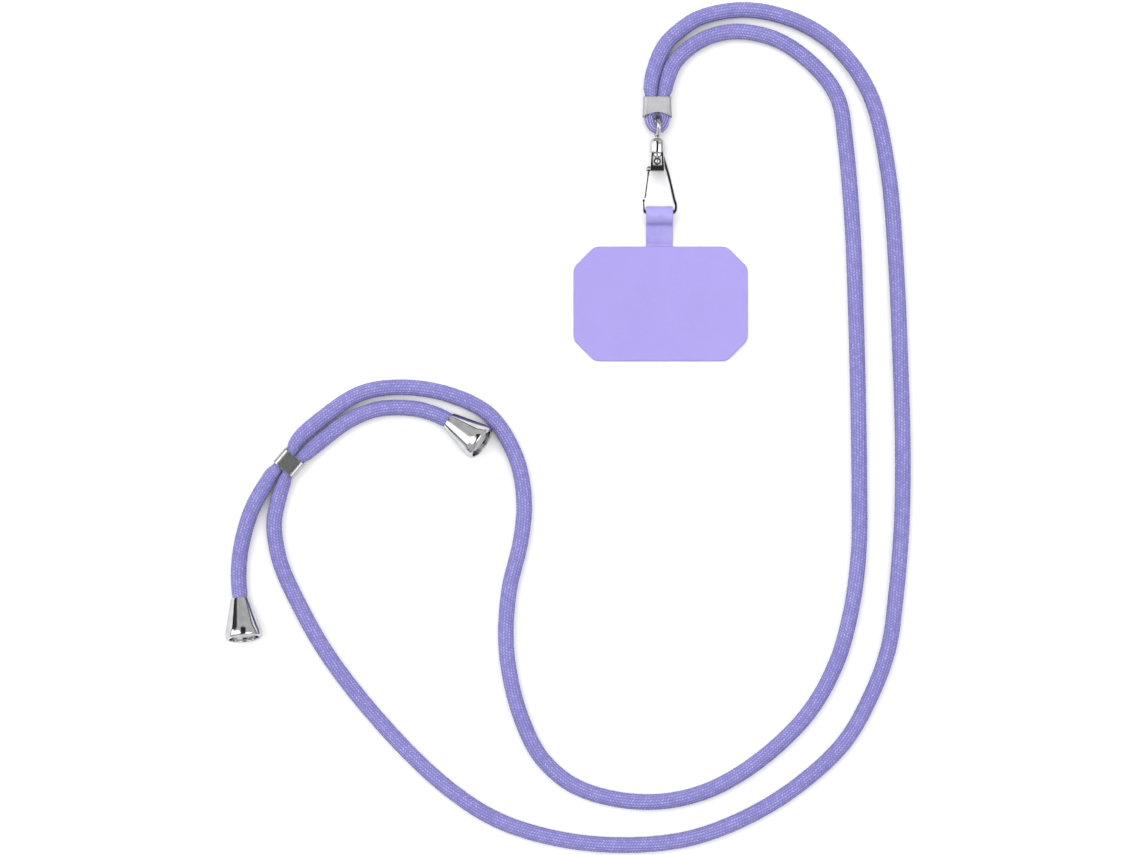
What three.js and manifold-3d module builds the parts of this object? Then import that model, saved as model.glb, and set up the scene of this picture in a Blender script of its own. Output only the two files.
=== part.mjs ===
import * as THREE from 'three';
import { mergeVertices } from 'three/addons/utils/BufferGeometryUtils.js';
import Module from 'manifold-3d';

// Phone crossbody strap laid flat: one braided cord folded in two, a crimp and a swivel snap hook
// at the fold, a webbing tab with a thin pad on the hook, and a slide ferrule and two cone ends.
// Millimetres, +Z up, the floor at z = 0. The origin is under the middle of the pad, hook and crimp.

const wasm = await Module();
wasm.setup();

// Clearances between separate pieces, and how far a cut runs past what it cuts
const GAP = 0.3;
const PIN_GAP = 0.2;
const CUT_OVERRUN = 1;

// Cord
const CORD_DIAMETER = 4.8;
const CORD_SIDES = 12;
const AXIS_HEIGHT = 3.7;
const GRIP_FADE = 9;

// Crimp ferrule, a flat sleeve round both strands
const SLEEVE_WALL = 0.5;
const SLEEVE_REACH = 3.7;
const CRIMP_LENGTH = 4.8;
const CRIMP_STRAND_WIDTH = 3.4;
const CRIMP_STRAND_HEIGHT = 4.0;
const CRIMP_CORNER = 1.5;
const CRIMP_X = -1.1;

// Bight, the fold of the cord that carries the swivel eye
const BIGHT_WIDTH = 3.1;
const BIGHT_HEIGHT = 4.0;
const BIGHT_HALF_SPAN = 2.6;
const BIGHT_STRAIGHT = 0.7;
const BIGHT_BEND_DROP = 4.15;

// Swivel eye: an upright ring, a shank and the ball that holds the shank in the hook
const EYE_WIRE_RADIUS = 0.65;
const EYE_HALF_LENGTH = 2.7;
const EYE_HALF_HEIGHT = 3.05;
const SHANK_RADIUS = 0.6;
const BALL_RADIUS = 1.15;

// Hook barrel and head
const BARREL_RADIUS = 2.3;
const BARREL_LENGTH = 3.7;
const HEAD_LENGTH = 6.0;
const HEAD_DEPTH = 3.2;
const HEAD_TOP_HALF_WIDTH = 1.9;
const HEAD_FOOT_HALF_WIDTH = 2.35;
const HEAD_CORNER = 0.4;
const WINDOW_LENGTH = 3.0;
const WINDOW_TOP = 1.4;

// Hook wire, which runs from the head round the tab to the nose
const HOOK_LENGTH = 18.8;
const WIRE_DEPTH = 2.6;
const WIRE_WIDTH = 1.1;
const BAR_WIDTH = 1.3;
const NOSE_WIDTH = 0.8;
const ARM_OUT = 5.75;
const NOSE_OUT = 4.2;
const HOOK_CORNER = 1.1;
const NOSE_HEIGHT = 3.6;
const NOSE_KNOB_RADIUS = 0.55;
const EDGE_ROUNDING = 0.25;

// Gate, its knuckle between the two cheeks of the head, and the pin
const PIVOT_X = -2.6;
const PIVOT_DROP = 5.4;
const KNUCKLE_RADIUS = 0.9;
const KNUCKLE_DEPTH = 1.1;
const PIN_RADIUS = 0.3;
const GATE_WIDTH = 0.75;
const GATE_DEPTH = 1.8;
const GATE_INSET = 0.4;
const GATE_NECK = 0.4;
const GATE_EDGE = 0.15;

// Webbing tab, looped round the hook's bar and sewn down to the pad
const TAB_WIDTH = 8.3;
const TAB_CENTRE_X = 0.7;
const TAB_THICKNESS = 0.8;
const TAB_BAR_ROOM = 0.5;
const TAB_LOOP_DROP = 3.45;
const TAB_SEAM_RISE = 1.1;
const TAB_REACH = 10.4;
const TAIL_THICKNESS = 0.6;
const TAIL_LENGTH = 11;

// Side outline of the tab as shares of the way along and of the rise. Under and over the doubled
// part they run from the pad to the seam, in front of and inside the loop from the seam to the bar.
const TAB_UNDERSIDE = [[1, 1], [0.57, 0.32], [0.22, 0]];
const TAB_TOPSIDE = [[0.115, 0], [0.345, 0.33], [0.655, 0.71], [1, 1]];
const TAB_FRONT = [[0.23, 0.235], [0.67, 0.9], [1, 1]];
const TAB_INSIDE = [[0.4, -0.05], [0.27, 0.03], [0.47, 0.375], [0.77, 0.94]];

// Pad
const PAD_WIDTH = 54.1;
const PAD_LENGTH = 35.6;
const PAD_THICKNESS = 1.4;
const PAD_CHAMFER = 6.5;
const PAD_CORNER = 1.6;
const PAD_EDGE = 0.2;

// Slide ferrule, a flat sleeve in which the two strands pass side by side
const SLIDE_LENGTH = 5.6;
const SLIDE_STRAND_WIDTH = 3.1;
const SLIDE_STRAND_HEIGHT = 4.6;
const SLIDE_CORNER = 1.7;
const SLIDE_PLACE = new THREE.Vector2(-115.2, -72.5);
const SLIDE_HEADING = THREE.MathUtils.degToRad(49.7);

// Cone ends, lying on their sides with the mouth towards the cord
const CONE_MOUTH_RADIUS = 2.9;
const CONE_RIM_RADIUS = 5.7;
const CONE_RIM_AT = 10.8;
const CONE_LENGTH = 12.8;
const CONE_BORE_RADIUS = 2.4;
const CONE_BORE_DEPTH = 6.8;
const CONE_RECESS_RADIUS = 4.3;
const CONE_RECESS_DEPTH = 1.1;
const CONE_BUTTON_RADIUS = 3.1;
const CONE_BUTTON_DEPTH = 0.5;
const CONE_SHOULDER = 0.6;
const CONE_BEVEL = 0.3;
const CONES = {
  cone_end_upper: { mouth: [-65.5, -59.5], heading: THREE.MathUtils.degToRad(-35.2) },
  cone_end_lower: { mouth: [-130.4, -114.6], heading: THREE.MathUtils.degToRad(-83.3) },
};

// Route of each strand on the floor, from the crimp to the slide ferrule and on to its cone end.
// Each row is x and y, and a third number is the centreline's height where the cord isn't lying.
const OUTER_ROUTE = [
  [-2.7, 46.2, 3.2], [-1.0, 52.4, 2.6], [1.6, 57.4], [6.0, 61.7], [12.2, 65.6], [24.6, 68.0],
  [37.0, 66.3], [49.4, 60.6], [58.7, 51.9], [65.6, 40.0], [70.5, 18.0], [72.9, -9.6],
  [74.3, -40.0], [75.1, -70.0], [74.7, -92.0], [72.8, -115.0], [70.6, -130.0], [65.3, -144.5],
  [57.0, -159.0], [43.5, -171.8], [27.5, -181.9], [9.0, -188.9], [-10.0, -191.0],
  [-30.0, -189.4], [-49.8, -183.6], [-65.3, -173.9], [-83.0, -157.2], [-102.2, -133.6],
  [-112.9, -115.0], [-118.2, -102.6], [-119.9, -91.5], [-118.6, -84.0, 2.5],
];
const OUTER_END_ROUTE = [
  [-105.6, -65.9, 2.6], [-96.3, -59.1], [-87.0, -55.7], [-74.6, -56.0],
];
const INNER_ROUTE = [
  [2.0, 46.2, 3.2], [4.4, 51.8, 2.6], [9.1, 56.4], [15.9, 60.0], [24.6, 61.3], [37.0, 58.3],
  [49.4, 48.8], [55.1, 40.0], [57.2, 27.6], [59.4, 2.0], [60.5, -25.0], [61.2, -52.0],
  [61.6, -80.0], [61.4, -100.0], [59.2, -117.5], [54.6, -134.2], [45.8, -150.0],
  [31.0, -164.4], [15.3, -173.8], [-0.2, -177.5], [-15.7, -176.4], [-28.1, -171.9],
  [-37.4, -163.4], [-43.0, -152.2], [-46.5, -139.8], [-48.0, -127.4], [-47.0, -112.0],
  [-43.3, -96.0], [-42.4, -84.0], [-45.0, -70.5], [-53.2, -57.6], [-66.0, -51.2],
  [-80.8, -49.0], [-93.2, -51.0], [-105.2, -58.8, 2.5], [-111.7, -64.6, 2.8],
];
const INNER_END_ROUTE = [
  [-121.4, -77.5, 2.8], [-126.8, -87.0], [-130.0, -98.0], [-130.9, -106.5],
];

// Places that follow from the sizes, down the middle from the crimp to the pad's far edge
const eyeDrop = BIGHT_STRAIGHT + BIGHT_BEND_DROP;
const barrelDrop = eyeDrop + EYE_HALF_LENGTH + EYE_WIRE_RADIUS + GAP;
const hookDrop = barrelDrop + BARREL_LENGTH;
const totalLength = CRIMP_LENGTH + hookDrop + HOOK_LENGTH + TAB_REACH + PAD_LENGTH;
const crimpFootY = totalLength / 2 - CRIMP_LENGTH;
const eyeY = crimpFootY - eyeDrop;
const hookY = crimpFootY - hookDrop;
const barY = hookY - HOOK_LENGTH;
const padTopY = barY - TAB_REACH;
const restHeight = CORD_DIAMETER / 2;
const coneTilt = Math.atan2(CONE_RIM_RADIUS - CONE_MOUTH_RADIUS, CONE_RIM_AT);
const coneMouthHeight = CONE_MOUTH_RADIUS * Math.cos(coneTilt);

const crimp = sleeveSizes(CRIMP_STRAND_WIDTH, CRIMP_STRAND_HEIGHT);
const slide = sleeveSizes(SLIDE_STRAND_WIDTH, SLIDE_STRAND_HEIGHT);
const crimpCentre = new THREE.Vector3(CRIMP_X, crimpFootY + CRIMP_LENGTH / 2, AXIS_HEIGHT);
const slideCentre = new THREE.Vector3(SLIDE_PLACE.x, SLIDE_PLACE.y, slide.height / 2);
const slideAlong = new THREE.Vector3(Math.cos(SLIDE_HEADING), Math.sin(SLIDE_HEADING), 0);
const slideAcross = new THREE.Vector3(Math.sin(SLIDE_HEADING), -Math.cos(SLIDE_HEADING), 0);

// Outer size of a sleeve and how far each strand lies from its middle
function sleeveSizes(strandWidth, strandHeight) {
  return {
    width: 2 * strandWidth + 3 * GAP + 2 * SLEEVE_WALL,
    height: strandHeight + 2 * GAP + 2 * SLEEVE_WALL,
    offset: (strandWidth + GAP) / 2,
  };
}

// A mesh without normals and doubled vertices, as a solid that can be joined and cut
function solidOf(geometry) {
  const bare = geometry.index ? geometry.toNonIndexed() : geometry.clone();
  bare.deleteAttribute('normal');
  bare.deleteAttribute('uv');
  const merged = mergeVertices(bare, 1e-4);
  const corners = merged.index.array;
  const kept = [];
  for (let i = 0; i < corners.length; i += 3) {
    const [a, b, c] = [corners[i], corners[i + 1], corners[i + 2]];
    if (a !== b && b !== c && c !== a) kept.push(a, b, c);
  }
  const mesh = new wasm.Mesh({
    numProp: 3,
    vertProperties: new Float32Array(merged.attributes.position.array),
    triVerts: new Uint32Array(kept),
  });
  mesh.merge();
  return new wasm.Manifold(mesh);
}

function geometryOf(solid) {
  const mesh = solid.getMesh();
  const geometry = new THREE.BufferGeometry();
  const positions = new Float32Array(mesh.vertProperties);
  geometry.setAttribute('position', new THREE.BufferAttribute(positions, 3));
  geometry.setIndex(new THREE.BufferAttribute(new Uint32Array(mesh.triVerts), 1));
  geometry.computeVertexNormals();
  return geometry;
}

// A flat outline made into a plate of the given depth, centred on z = 0, with rounded edges
function plate(shape, depth, rounding = EDGE_ROUNDING, curveSegments = 8) {
  const geometry = new THREE.ExtrudeGeometry(shape, {
    depth: depth - 2 * rounding,
    bevelEnabled: rounding > 0,
    bevelThickness: rounding,
    bevelSize: rounding,
    bevelOffset: -rounding,
    bevelSegments: 1,
    curveSegments,
  });
  return geometry.translate(0, 0, rounding - depth / 2);
}

function boxAt(width, length, depth, x, y, z) {
  return new THREE.BoxGeometry(width, length, depth).translate(x, y, z);
}

// An upright cylinder, for pins, bores and knuckles
function postAt(radius, depth, x, y, sides = 20) {
  return new THREE.CylinderGeometry(radius, radius, depth, sides)
    .rotateX(Math.PI / 2)
    .translate(x, y, 0);
}

// Outline of a bent wire: each row of the middle line holds x, y and the half width there
function ribbon(rows, steps) {
  const middle = new THREE.CatmullRomCurve3(rows.map((row) => new THREE.Vector3(...row)));
  const left = [];
  const right = [];
  for (let i = 0; i <= steps; i++) {
    const point = middle.getPoint(i / steps);
    const tangent = middle.getTangent(i / steps);
    const side = new THREE.Vector2(-tangent.y, tangent.x).normalize().multiplyScalar(point.z);
    left.push(new THREE.Vector2(point.x + side.x, point.y + side.y));
    right.push(new THREE.Vector2(point.x - side.x, point.y - side.y));
  }
  return new THREE.Shape([...left, ...right.reverse()]);
}

// Rectangle with rounded corners, centred on the origin
function roundedRectangle(path, width, height, radius) {
  const x = width / 2 - radius;
  const y = height / 2 - radius;
  path.absarc(x, y, radius, 0, Math.PI / 2, false);
  path.absarc(-x, y, radius, Math.PI / 2, Math.PI, false);
  path.absarc(-x, -y, radius, Math.PI, 1.5 * Math.PI, false);
  path.absarc(x, -y, radius, 1.5 * Math.PI, 2 * Math.PI, false);
  path.closePath();
  return path;
}

// The points of an outline, without those that fall on the one before or on the first
function distinct(points) {
  const apart = points.filter((point, i) => i === 0 || point.distanceTo(points[i - 1]) > 1e-3);
  if (apart[0].distanceTo(apart[apart.length - 1]) < 1e-3) apart.pop();
  return apart;
}

// A closed outline through the corners, each corner rounded off
function roundedPolygon(corners, radius) {
  const shape = new THREE.Shape();
  corners.forEach((corner, i) => {
    const before = corners[(i + corners.length - 1) % corners.length];
    const after = corners[(i + 1) % corners.length];
    const start = corner.clone().add(before.clone().sub(corner).setLength(radius));
    const end = corner.clone().add(after.clone().sub(corner).setLength(radius));
    if (i === 0) shape.moveTo(start.x, start.y);
    else shape.lineTo(start.x, start.y);
    shape.quadraticCurveTo(corner.x, corner.y, end.x, end.y);
  });
  shape.closePath();
  return shape;
}

// A route whose steps fall on its own points
class Route extends THREE.CatmullRomCurve3 {
  getPointAt(u, target) {
    return this.getPoint(u, target);
  }

  getTangentAt(u, target) {
    return this.getTangent(u, target);
  }
}

// A tube along a route, with a width and a height of its own at each point
function tube(points, sizeAt) {
  const section = new THREE.Shape();
  section.absarc(0, 0, 1, 0, 2 * Math.PI, false);
  const geometry = new THREE.ExtrudeGeometry(section, {
    steps: points.length - 1,
    curveSegments: CORD_SIDES / 2,
    extrudePath: new Route(points),
  });
  const position = geometry.attributes.position;
  const frames = points.map((point, i) => {
    const before = points[Math.max(i - 1, 0)];
    const after = points[Math.min(i + 1, points.length - 1)];
    const side = new THREE.Vector3(before.y - after.y, after.x - before.x, 0).normalize();
    return { point, side, size: sizeAt(point) };
  });
  const vertex = new THREE.Vector3();
  for (let i = 0; i < position.count; i++) {
    vertex.fromBufferAttribute(position, i);
    const frame = frames.reduce((best, other) => (
      vertex.distanceTo(other.point) < vertex.distanceTo(best.point) ? other : best));
    const offset = vertex.clone().sub(frame.point);
    const along = offset.dot(frame.side) * frame.size.width / 2;
    const flat = frame.side.clone().multiplyScalar(offset.dot(frame.side));
    const rest = offset.clone().sub(flat).multiplyScalar(frame.size.height / 2);
    vertex.copy(frame.point).addScaledVector(frame.side, along).add(rest);
    position.setXYZ(i, vertex.x, vertex.y, vertex.z);
  }
  return geometry;
}

// Cord: round where it is free, flattened where a sleeve or a cone's bore grips it
const boreStrand = 2 * (CONE_BORE_RADIUS - GAP);
const grips = [
  { at: crimpCentre, width: CRIMP_STRAND_WIDTH, height: CRIMP_STRAND_HEIGHT, reach: SLEEVE_REACH },
  { at: slideCentre, width: SLIDE_STRAND_WIDTH, height: SLIDE_STRAND_HEIGHT, reach: SLEEVE_REACH },
];
for (const cone of Object.values(CONES)) {
  const [x, y] = cone.mouth;
  const flat = Math.cos(coneTilt);
  cone.place = new THREE.Vector3(x, y, coneMouthHeight);
  cone.axis = new THREE.Vector3(
    Math.cos(cone.heading) * flat, Math.sin(cone.heading) * flat, Math.sin(coneTilt));
  cone.strandEnd = cone.place.clone().addScaledVector(cone.axis, CONE_BORE_DEPTH - GAP);
  grips.push({ at: cone.strandEnd, width: boreStrand, height: boreStrand, reach: CONE_BORE_DEPTH });
}

function cordSize(point) {
  const size = { width: CORD_DIAMETER, height: CORD_DIAMETER };
  for (const grip of grips) {
    const distance = point.distanceTo(grip.at);
    const free = THREE.MathUtils.smoothstep(distance, grip.reach, grip.reach + GRIP_FADE);
    size.width = Math.min(size.width, THREE.MathUtils.lerp(grip.width, CORD_DIAMETER, free));
    size.height = Math.min(size.height, THREE.MathUtils.lerp(grip.height, CORD_DIAMETER, free));
  }
  return size;
}

const lying = (rows) => rows.map(([x, y, z = restHeight]) => new THREE.Vector3(x, y, z));

// One strand: sides are -1 or 1 in each sleeve, and the slide ferrule is passed up or down
function strand(side, route, slideSide, slideWay, endRoute, cone) {
  const crimpX = CRIMP_X + side * crimp.offset;
  const halfSlide = slideWay * (SLIDE_LENGTH / 2 + GAP);
  const inSlide = slideCentre.clone().addScaledVector(slideAcross, slideSide * slide.offset);
  const points = [
    new THREE.Vector3(crimpX, crimpCentre.y + GAP / 2, AXIS_HEIGHT),
    new THREE.Vector3(crimpX, crimpCentre.y + CRIMP_LENGTH / 2, AXIS_HEIGHT),
    ...lying(route),
    inSlide.clone().addScaledVector(slideAlong, -halfSlide),
    inSlide.clone().addScaledVector(slideAlong, halfSlide),
    ...lying(endRoute),
    cone.place,
    cone.strandEnd,
  ];
  return tube(points, cordSize);
}

function bight() {
  const points = [];
  const bendSteps = 8;
  const startY = crimpCentre.y - GAP / 2;
  points.push(new THREE.Vector3(CRIMP_X - crimp.offset, startY, AXIS_HEIGHT));
  points.push(new THREE.Vector3(CRIMP_X - crimp.offset, crimpFootY, AXIS_HEIGHT));
  for (let i = 0; i <= bendSteps; i++) {
    const angle = Math.PI + Math.PI * i / bendSteps;
    points.push(new THREE.Vector3(
      CRIMP_X + BIGHT_HALF_SPAN * Math.cos(angle),
      eyeY + BIGHT_BEND_DROP + BIGHT_BEND_DROP * Math.sin(angle),
      AXIS_HEIGHT));
  }
  points.push(new THREE.Vector3(CRIMP_X + crimp.offset, crimpFootY, AXIS_HEIGHT));
  points.push(new THREE.Vector3(CRIMP_X + crimp.offset, startY, AXIS_HEIGHT));
  return tube(points, () => ({ width: BIGHT_WIDTH, height: BIGHT_HEIGHT }));
}

// A flat sleeve with rounded sides, its length along y
function sleeve(sizes, length, corner) {
  const shape = roundedRectangle(new THREE.Shape(), sizes.width, sizes.height, corner);
  const inside = roundedRectangle(new THREE.Path(), sizes.width - 2 * SLEEVE_WALL,
    sizes.height - 2 * SLEEVE_WALL, corner - SLEEVE_WALL);
  shape.holes.push(inside);
  return plate(shape, length, 0, 5).rotateX(Math.PI / 2);
}

// A cone end about its own axis, +Y from the mouth to the recessed end face
function coneEnd() {
  const profile = [
    [0, CONE_BORE_DEPTH],
    [CONE_BORE_RADIUS, CONE_BORE_DEPTH],
    [CONE_BORE_RADIUS, 0],
    [CONE_MOUTH_RADIUS, 0],
    [CONE_RIM_RADIUS, CONE_RIM_AT],
    [CONE_RIM_RADIUS, CONE_RIM_AT + CONE_SHOULDER],
    [CONE_RIM_RADIUS - CONE_BEVEL / 3, CONE_LENGTH - CONE_SHOULDER],
    [CONE_RIM_RADIUS - CONE_SHOULDER, CONE_LENGTH],
    [CONE_RECESS_RADIUS + CONE_BEVEL, CONE_LENGTH],
    [CONE_RECESS_RADIUS, CONE_LENGTH - CONE_BEVEL],
    [CONE_RECESS_RADIUS - CONE_BEVEL / 3, CONE_LENGTH - CONE_RECESS_DEPTH],
    [CONE_BUTTON_RADIUS + CONE_BEVEL, CONE_LENGTH - CONE_RECESS_DEPTH],
    [CONE_BUTTON_RADIUS, CONE_LENGTH - CONE_BUTTON_DEPTH],
    [0, CONE_LENGTH - CONE_BUTTON_DEPTH],
  ];
  return new THREE.LatheGeometry(profile.map(([r, y]) => new THREE.Vector2(r, y)), 24);
}

// Swivel eye about the point where the cord's fold lies, its shank along -Y
function hookEye() {
  const ring = new THREE.TorusGeometry(EYE_HALF_LENGTH, EYE_WIRE_RADIUS, 8, 24)
    .rotateY(Math.PI / 2)
    .scale(1, 1, EYE_HALF_HEIGHT / EYE_HALF_LENGTH);
  const ballY = hookY - WINDOW_TOP - WINDOW_LENGTH / 2 - eyeY;
  const shankLength = -ballY - EYE_HALF_LENGTH;
  const shank = new THREE.CylinderGeometry(SHANK_RADIUS, SHANK_RADIUS, shankLength, 16)
    .translate(0, ballY + shankLength / 2, 0);
  const ball = new THREE.SphereGeometry(BALL_RADIUS, 16, 12).translate(0, ballY, 0);
  return geometryOf(solidOf(ring).add(solidOf(shank)).add(solidOf(ball)));
}

// Hook frame about the foot of its barrel: barrel, head, arm, bar and nose in one casting
function hookFrame() {
  const bore = SHANK_RADIUS + GAP;
  const barrel = new THREE.LatheGeometry([
    [bore, -GAP], [BARREL_RADIUS, -GAP], [BARREL_RADIUS, BARREL_LENGTH * 0.6],
    [BARREL_RADIUS * 0.9, BARREL_LENGTH * 0.85], [BARREL_RADIUS * 0.6, BARREL_LENGTH],
    [bore, BARREL_LENGTH], [bore, -GAP],
  ].map(([r, y]) => new THREE.Vector2(r, y)), 24);
  const head = plate(roundedPolygon([
    new THREE.Vector2(-HEAD_TOP_HALF_WIDTH, GAP),
    new THREE.Vector2(-HEAD_FOOT_HALF_WIDTH, -HEAD_LENGTH),
    new THREE.Vector2(HEAD_FOOT_HALF_WIDTH, -HEAD_LENGTH),
    new THREE.Vector2(HEAD_TOP_HALF_WIDTH, GAP),
  ], HEAD_CORNER), HEAD_DEPTH);
  const armX = ARM_OUT;
  const noseX = -NOSE_OUT;
  const turn = HOOK_CORNER * (1 - Math.SQRT1_2);
  const wire = plate(ribbon([
    [HEAD_TOP_HALF_WIDTH - WIRE_WIDTH / 2, -HEAD_CORNER, WIRE_WIDTH / 2],
    [armX * 0.63, -HOOK_LENGTH * 0.42, WIRE_WIDTH / 2],
    [armX * 0.92, -HOOK_LENGTH * 0.8, WIRE_WIDTH / 2],
    [armX, -HOOK_LENGTH + 2 * HOOK_CORNER, WIRE_WIDTH / 2],
    [armX - turn, -HOOK_LENGTH + turn, (WIRE_WIDTH + BAR_WIDTH) / 4],
    [armX - 1.6 * HOOK_CORNER, -HOOK_LENGTH, BAR_WIDTH / 2],
    [0, -HOOK_LENGTH, BAR_WIDTH / 2],
    [noseX + 1.4 * HOOK_CORNER, -HOOK_LENGTH, BAR_WIDTH / 2],
    [noseX + turn, -HOOK_LENGTH + turn, (NOSE_WIDTH + BAR_WIDTH) / 4],
    [noseX, -HOOK_LENGTH + 1.6 * HOOK_CORNER, NOSE_WIDTH / 2],
    [noseX, -HOOK_LENGTH + NOSE_HEIGHT, NOSE_WIDTH / 2],
  ], 44), WIRE_DEPTH);
  const knob = postAt(NOSE_KNOB_RADIUS, WIRE_DEPTH, noseX, -HOOK_LENGTH + NOSE_HEIGHT, 12);
  const lug = postAt(KNUCKLE_RADIUS, HEAD_DEPTH, PIVOT_X, -PIVOT_DROP);
  const windowWidth = 2 * (BALL_RADIUS + GAP);
  const windowCut = boxAt(windowWidth, WINDOW_LENGTH, HEAD_DEPTH + 2 * CUT_OVERRUN,
    0, -WINDOW_TOP - WINDOW_LENGTH / 2, 0);
  const shankCut = new THREE.CylinderGeometry(bore, bore, WINDOW_TOP + CUT_OVERRUN, 24)
    .translate(0, -WINDOW_TOP / 2, 0);
  const knuckleCut = postAt(KNUCKLE_RADIUS + GAP, KNUCKLE_DEPTH + 2 * GAP, PIVOT_X, -PIVOT_DROP);
  const legCutLength = HEAD_LENGTH / 2;
  const legCut = boxAt(2 * GAP + GATE_WIDTH, legCutLength, KNUCKLE_DEPTH + 2 * GAP,
    PIVOT_X - GATE_INSET / 2, -PIVOT_DROP - legCutLength / 2, 0);
  const pinCut = postAt(PIN_RADIUS + PIN_GAP, HEAD_DEPTH + 2 * CUT_OVERRUN,
    PIVOT_X, -PIVOT_DROP);
  const casting = solidOf(barrel)
    .add(solidOf(head))
    .add(solidOf(wire))
    .add(solidOf(knob))
    .add(solidOf(lug));
  return geometryOf(casting
    .subtract(solidOf(windowCut))
    .subtract(solidOf(shankCut))
    .subtract(solidOf(knuckleCut))
    .subtract(solidOf(legCut))
    .subtract(solidOf(pinCut)));
}

// Gate about its pivot: a thin leg from the knuckle down to just above the nose's knob
function hookGate() {
  const tipX = -NOSE_OUT + GATE_INSET - PIVOT_X;
  const tipY = -HOOK_LENGTH + NOSE_HEIGHT + NOSE_KNOB_RADIUS + GAP + PIVOT_DROP;
  const legTop = -KNUCKLE_RADIUS - GAP - GATE_NECK;
  const slope = tipX / tipY;
  const leg = plate(ribbon([
    [legTop * slope, legTop, GATE_WIDTH / 2],
    [(legTop + tipY) / 2 * slope, (legTop + tipY) / 2, GATE_WIDTH / 2],
    [tipX, tipY, GATE_WIDTH / 2],
  ], 6), GATE_DEPTH, GATE_EDGE);
  const neck = plate(ribbon([
    [0, 0, GATE_WIDTH / 2],
    [legTop * slope, legTop - GATE_NECK, GATE_WIDTH / 2],
  ], 2), KNUCKLE_DEPTH, GATE_EDGE);
  const knuckle = postAt(KNUCKLE_RADIUS, KNUCKLE_DEPTH, 0, 0);
  const pinCut = postAt(PIN_RADIUS + PIN_GAP, KNUCKLE_DEPTH + 2 * CUT_OVERRUN, 0, 0);
  return geometryOf(solidOf(knuckle).add(solidOf(neck)).add(solidOf(leg))
    .subtract(solidOf(pinCut)));
}

// Shares of the way along and of the rise as points between two corners
function between(rows, low, high) {
  return rows.map(([along, up]) => new THREE.Vector2(
    THREE.MathUtils.lerp(low.x, high.x, along),
    THREE.MathUtils.lerp(low.y, high.y, up)));
}

// Webbing tab: a side outline in y and z from the hook's bar to the tail under the pad
function webbingTab() {
  const inner = WIRE_DEPTH / 2 + GAP;
  const outer = inner + TAB_THICKNESS;
  const loopY = barY + BAR_WIDTH / 2 + TAB_BAR_ROOM - inner;
  const seamY = barY - TAB_LOOP_DROP;
  const tailY = padTopY - TAIL_LENGTH;
  const padEdge = new THREE.Vector2(padTopY, 0);
  const padEdgeTop = new THREE.Vector2(padTopY, TAIL_THICKNESS);
  const seamFoot = new THREE.Vector2(seamY, TAB_SEAM_RISE);
  const seamTop = new THREE.Vector2(seamY, TAB_SEAM_RISE + 2 * TAB_THICKNESS);
  const loopTop = new THREE.Vector2(loopY, AXIS_HEIGHT + outer);
  const insideFoot = new THREE.Vector2(seamY, AXIS_HEIGHT - inner);
  const insideTop = new THREE.Vector2(loopY, AXIS_HEIGHT + inner);
  const topside = between(TAB_TOPSIDE, padEdgeTop, seamTop);
  const shape = new THREE.Shape();
  shape.moveTo(loopTop.x, loopTop.y);
  shape.absarc(loopY, AXIS_HEIGHT, outer, Math.PI / 2, -Math.PI / 2, true);
  shape.splineThru(between(TAB_UNDERSIDE, padEdge, seamFoot));
  shape.lineTo(tailY, 0);
  shape.lineTo(tailY, TAIL_THICKNESS);
  shape.lineTo(topside[0].x, topside[0].y);
  shape.splineThru(topside.slice(1));
  shape.splineThru(between(TAB_FRONT, seamTop, loopTop));
  const hole = new THREE.Path();
  hole.moveTo(insideTop.x, insideTop.y);
  hole.absarc(loopY, AXIS_HEIGHT, inner, Math.PI / 2, -Math.PI / 2, true);
  for (const point of between(TAB_INSIDE, insideFoot, insideTop)) hole.lineTo(point.x, point.y);
  hole.closePath();
  const outline = new THREE.Shape(distinct(shape.getPoints(5)));
  outline.holes.push(new THREE.Path(distinct(hole.getPoints(5)).reverse()));
  return plate(outline, TAB_WIDTH, 0);
}

// Pad: a thin chamfered rectangle with a shallow pocket under it for the tab's tail
function phonePad() {
  const x = PAD_WIDTH / 2;
  const y = PAD_LENGTH / 2;
  const corners = [
    [x, y - PAD_CHAMFER], [x - PAD_CHAMFER, y], [-x + PAD_CHAMFER, y], [-x, y - PAD_CHAMFER],
    [-x, -y + PAD_CHAMFER], [-x + PAD_CHAMFER, -y], [x - PAD_CHAMFER, -y], [x, -y + PAD_CHAMFER],
  ].map((corner) => new THREE.Vector2(...corner));
  const sheet = plate(roundedPolygon(corners, PAD_CORNER), PAD_THICKNESS, PAD_EDGE, 4);
  const pocketLength = TAIL_LENGTH + GAP + CUT_OVERRUN;
  const pocketDepth = TAIL_THICKNESS + GAP + CUT_OVERRUN;
  const pocket = boxAt(TAB_WIDTH + 2 * GAP, pocketLength, pocketDepth, CRIMP_X + TAB_CENTRE_X,
    y + CUT_OVERRUN - pocketLength / 2, pocketDepth / 2 - CUT_OVERRUN - PAD_THICKNESS / 2);
  return geometryOf(solidOf(sheet).subtract(solidOf(pocket)));
}

// Materials
const finish = (color, roughness, metalness) => new THREE.MeshStandardMaterial({
  color,
  roughness,
  metalness,
});
const cordMaterial = finish(0x9894d6, 0.9, 0);
const webbingMaterial = finish(0xb0a6f2, 0.85, 0);
const padMaterial = finish(0xb3a8ee, 0.8, 0);
const chromeMaterial = finish(0xc8c8ca, 0.12, 1);
const satinMaterial = finish(0xb4b4b8, 0.35, 1);

const strap = new THREE.Group();

function piece(name, geometry, material, place = [0, 0, 0]) {
  const mesh = new THREE.Mesh(geometry, material);
  mesh.name = name;
  mesh.position.set(...place);
  strap.add(mesh);
  return mesh;
}

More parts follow.
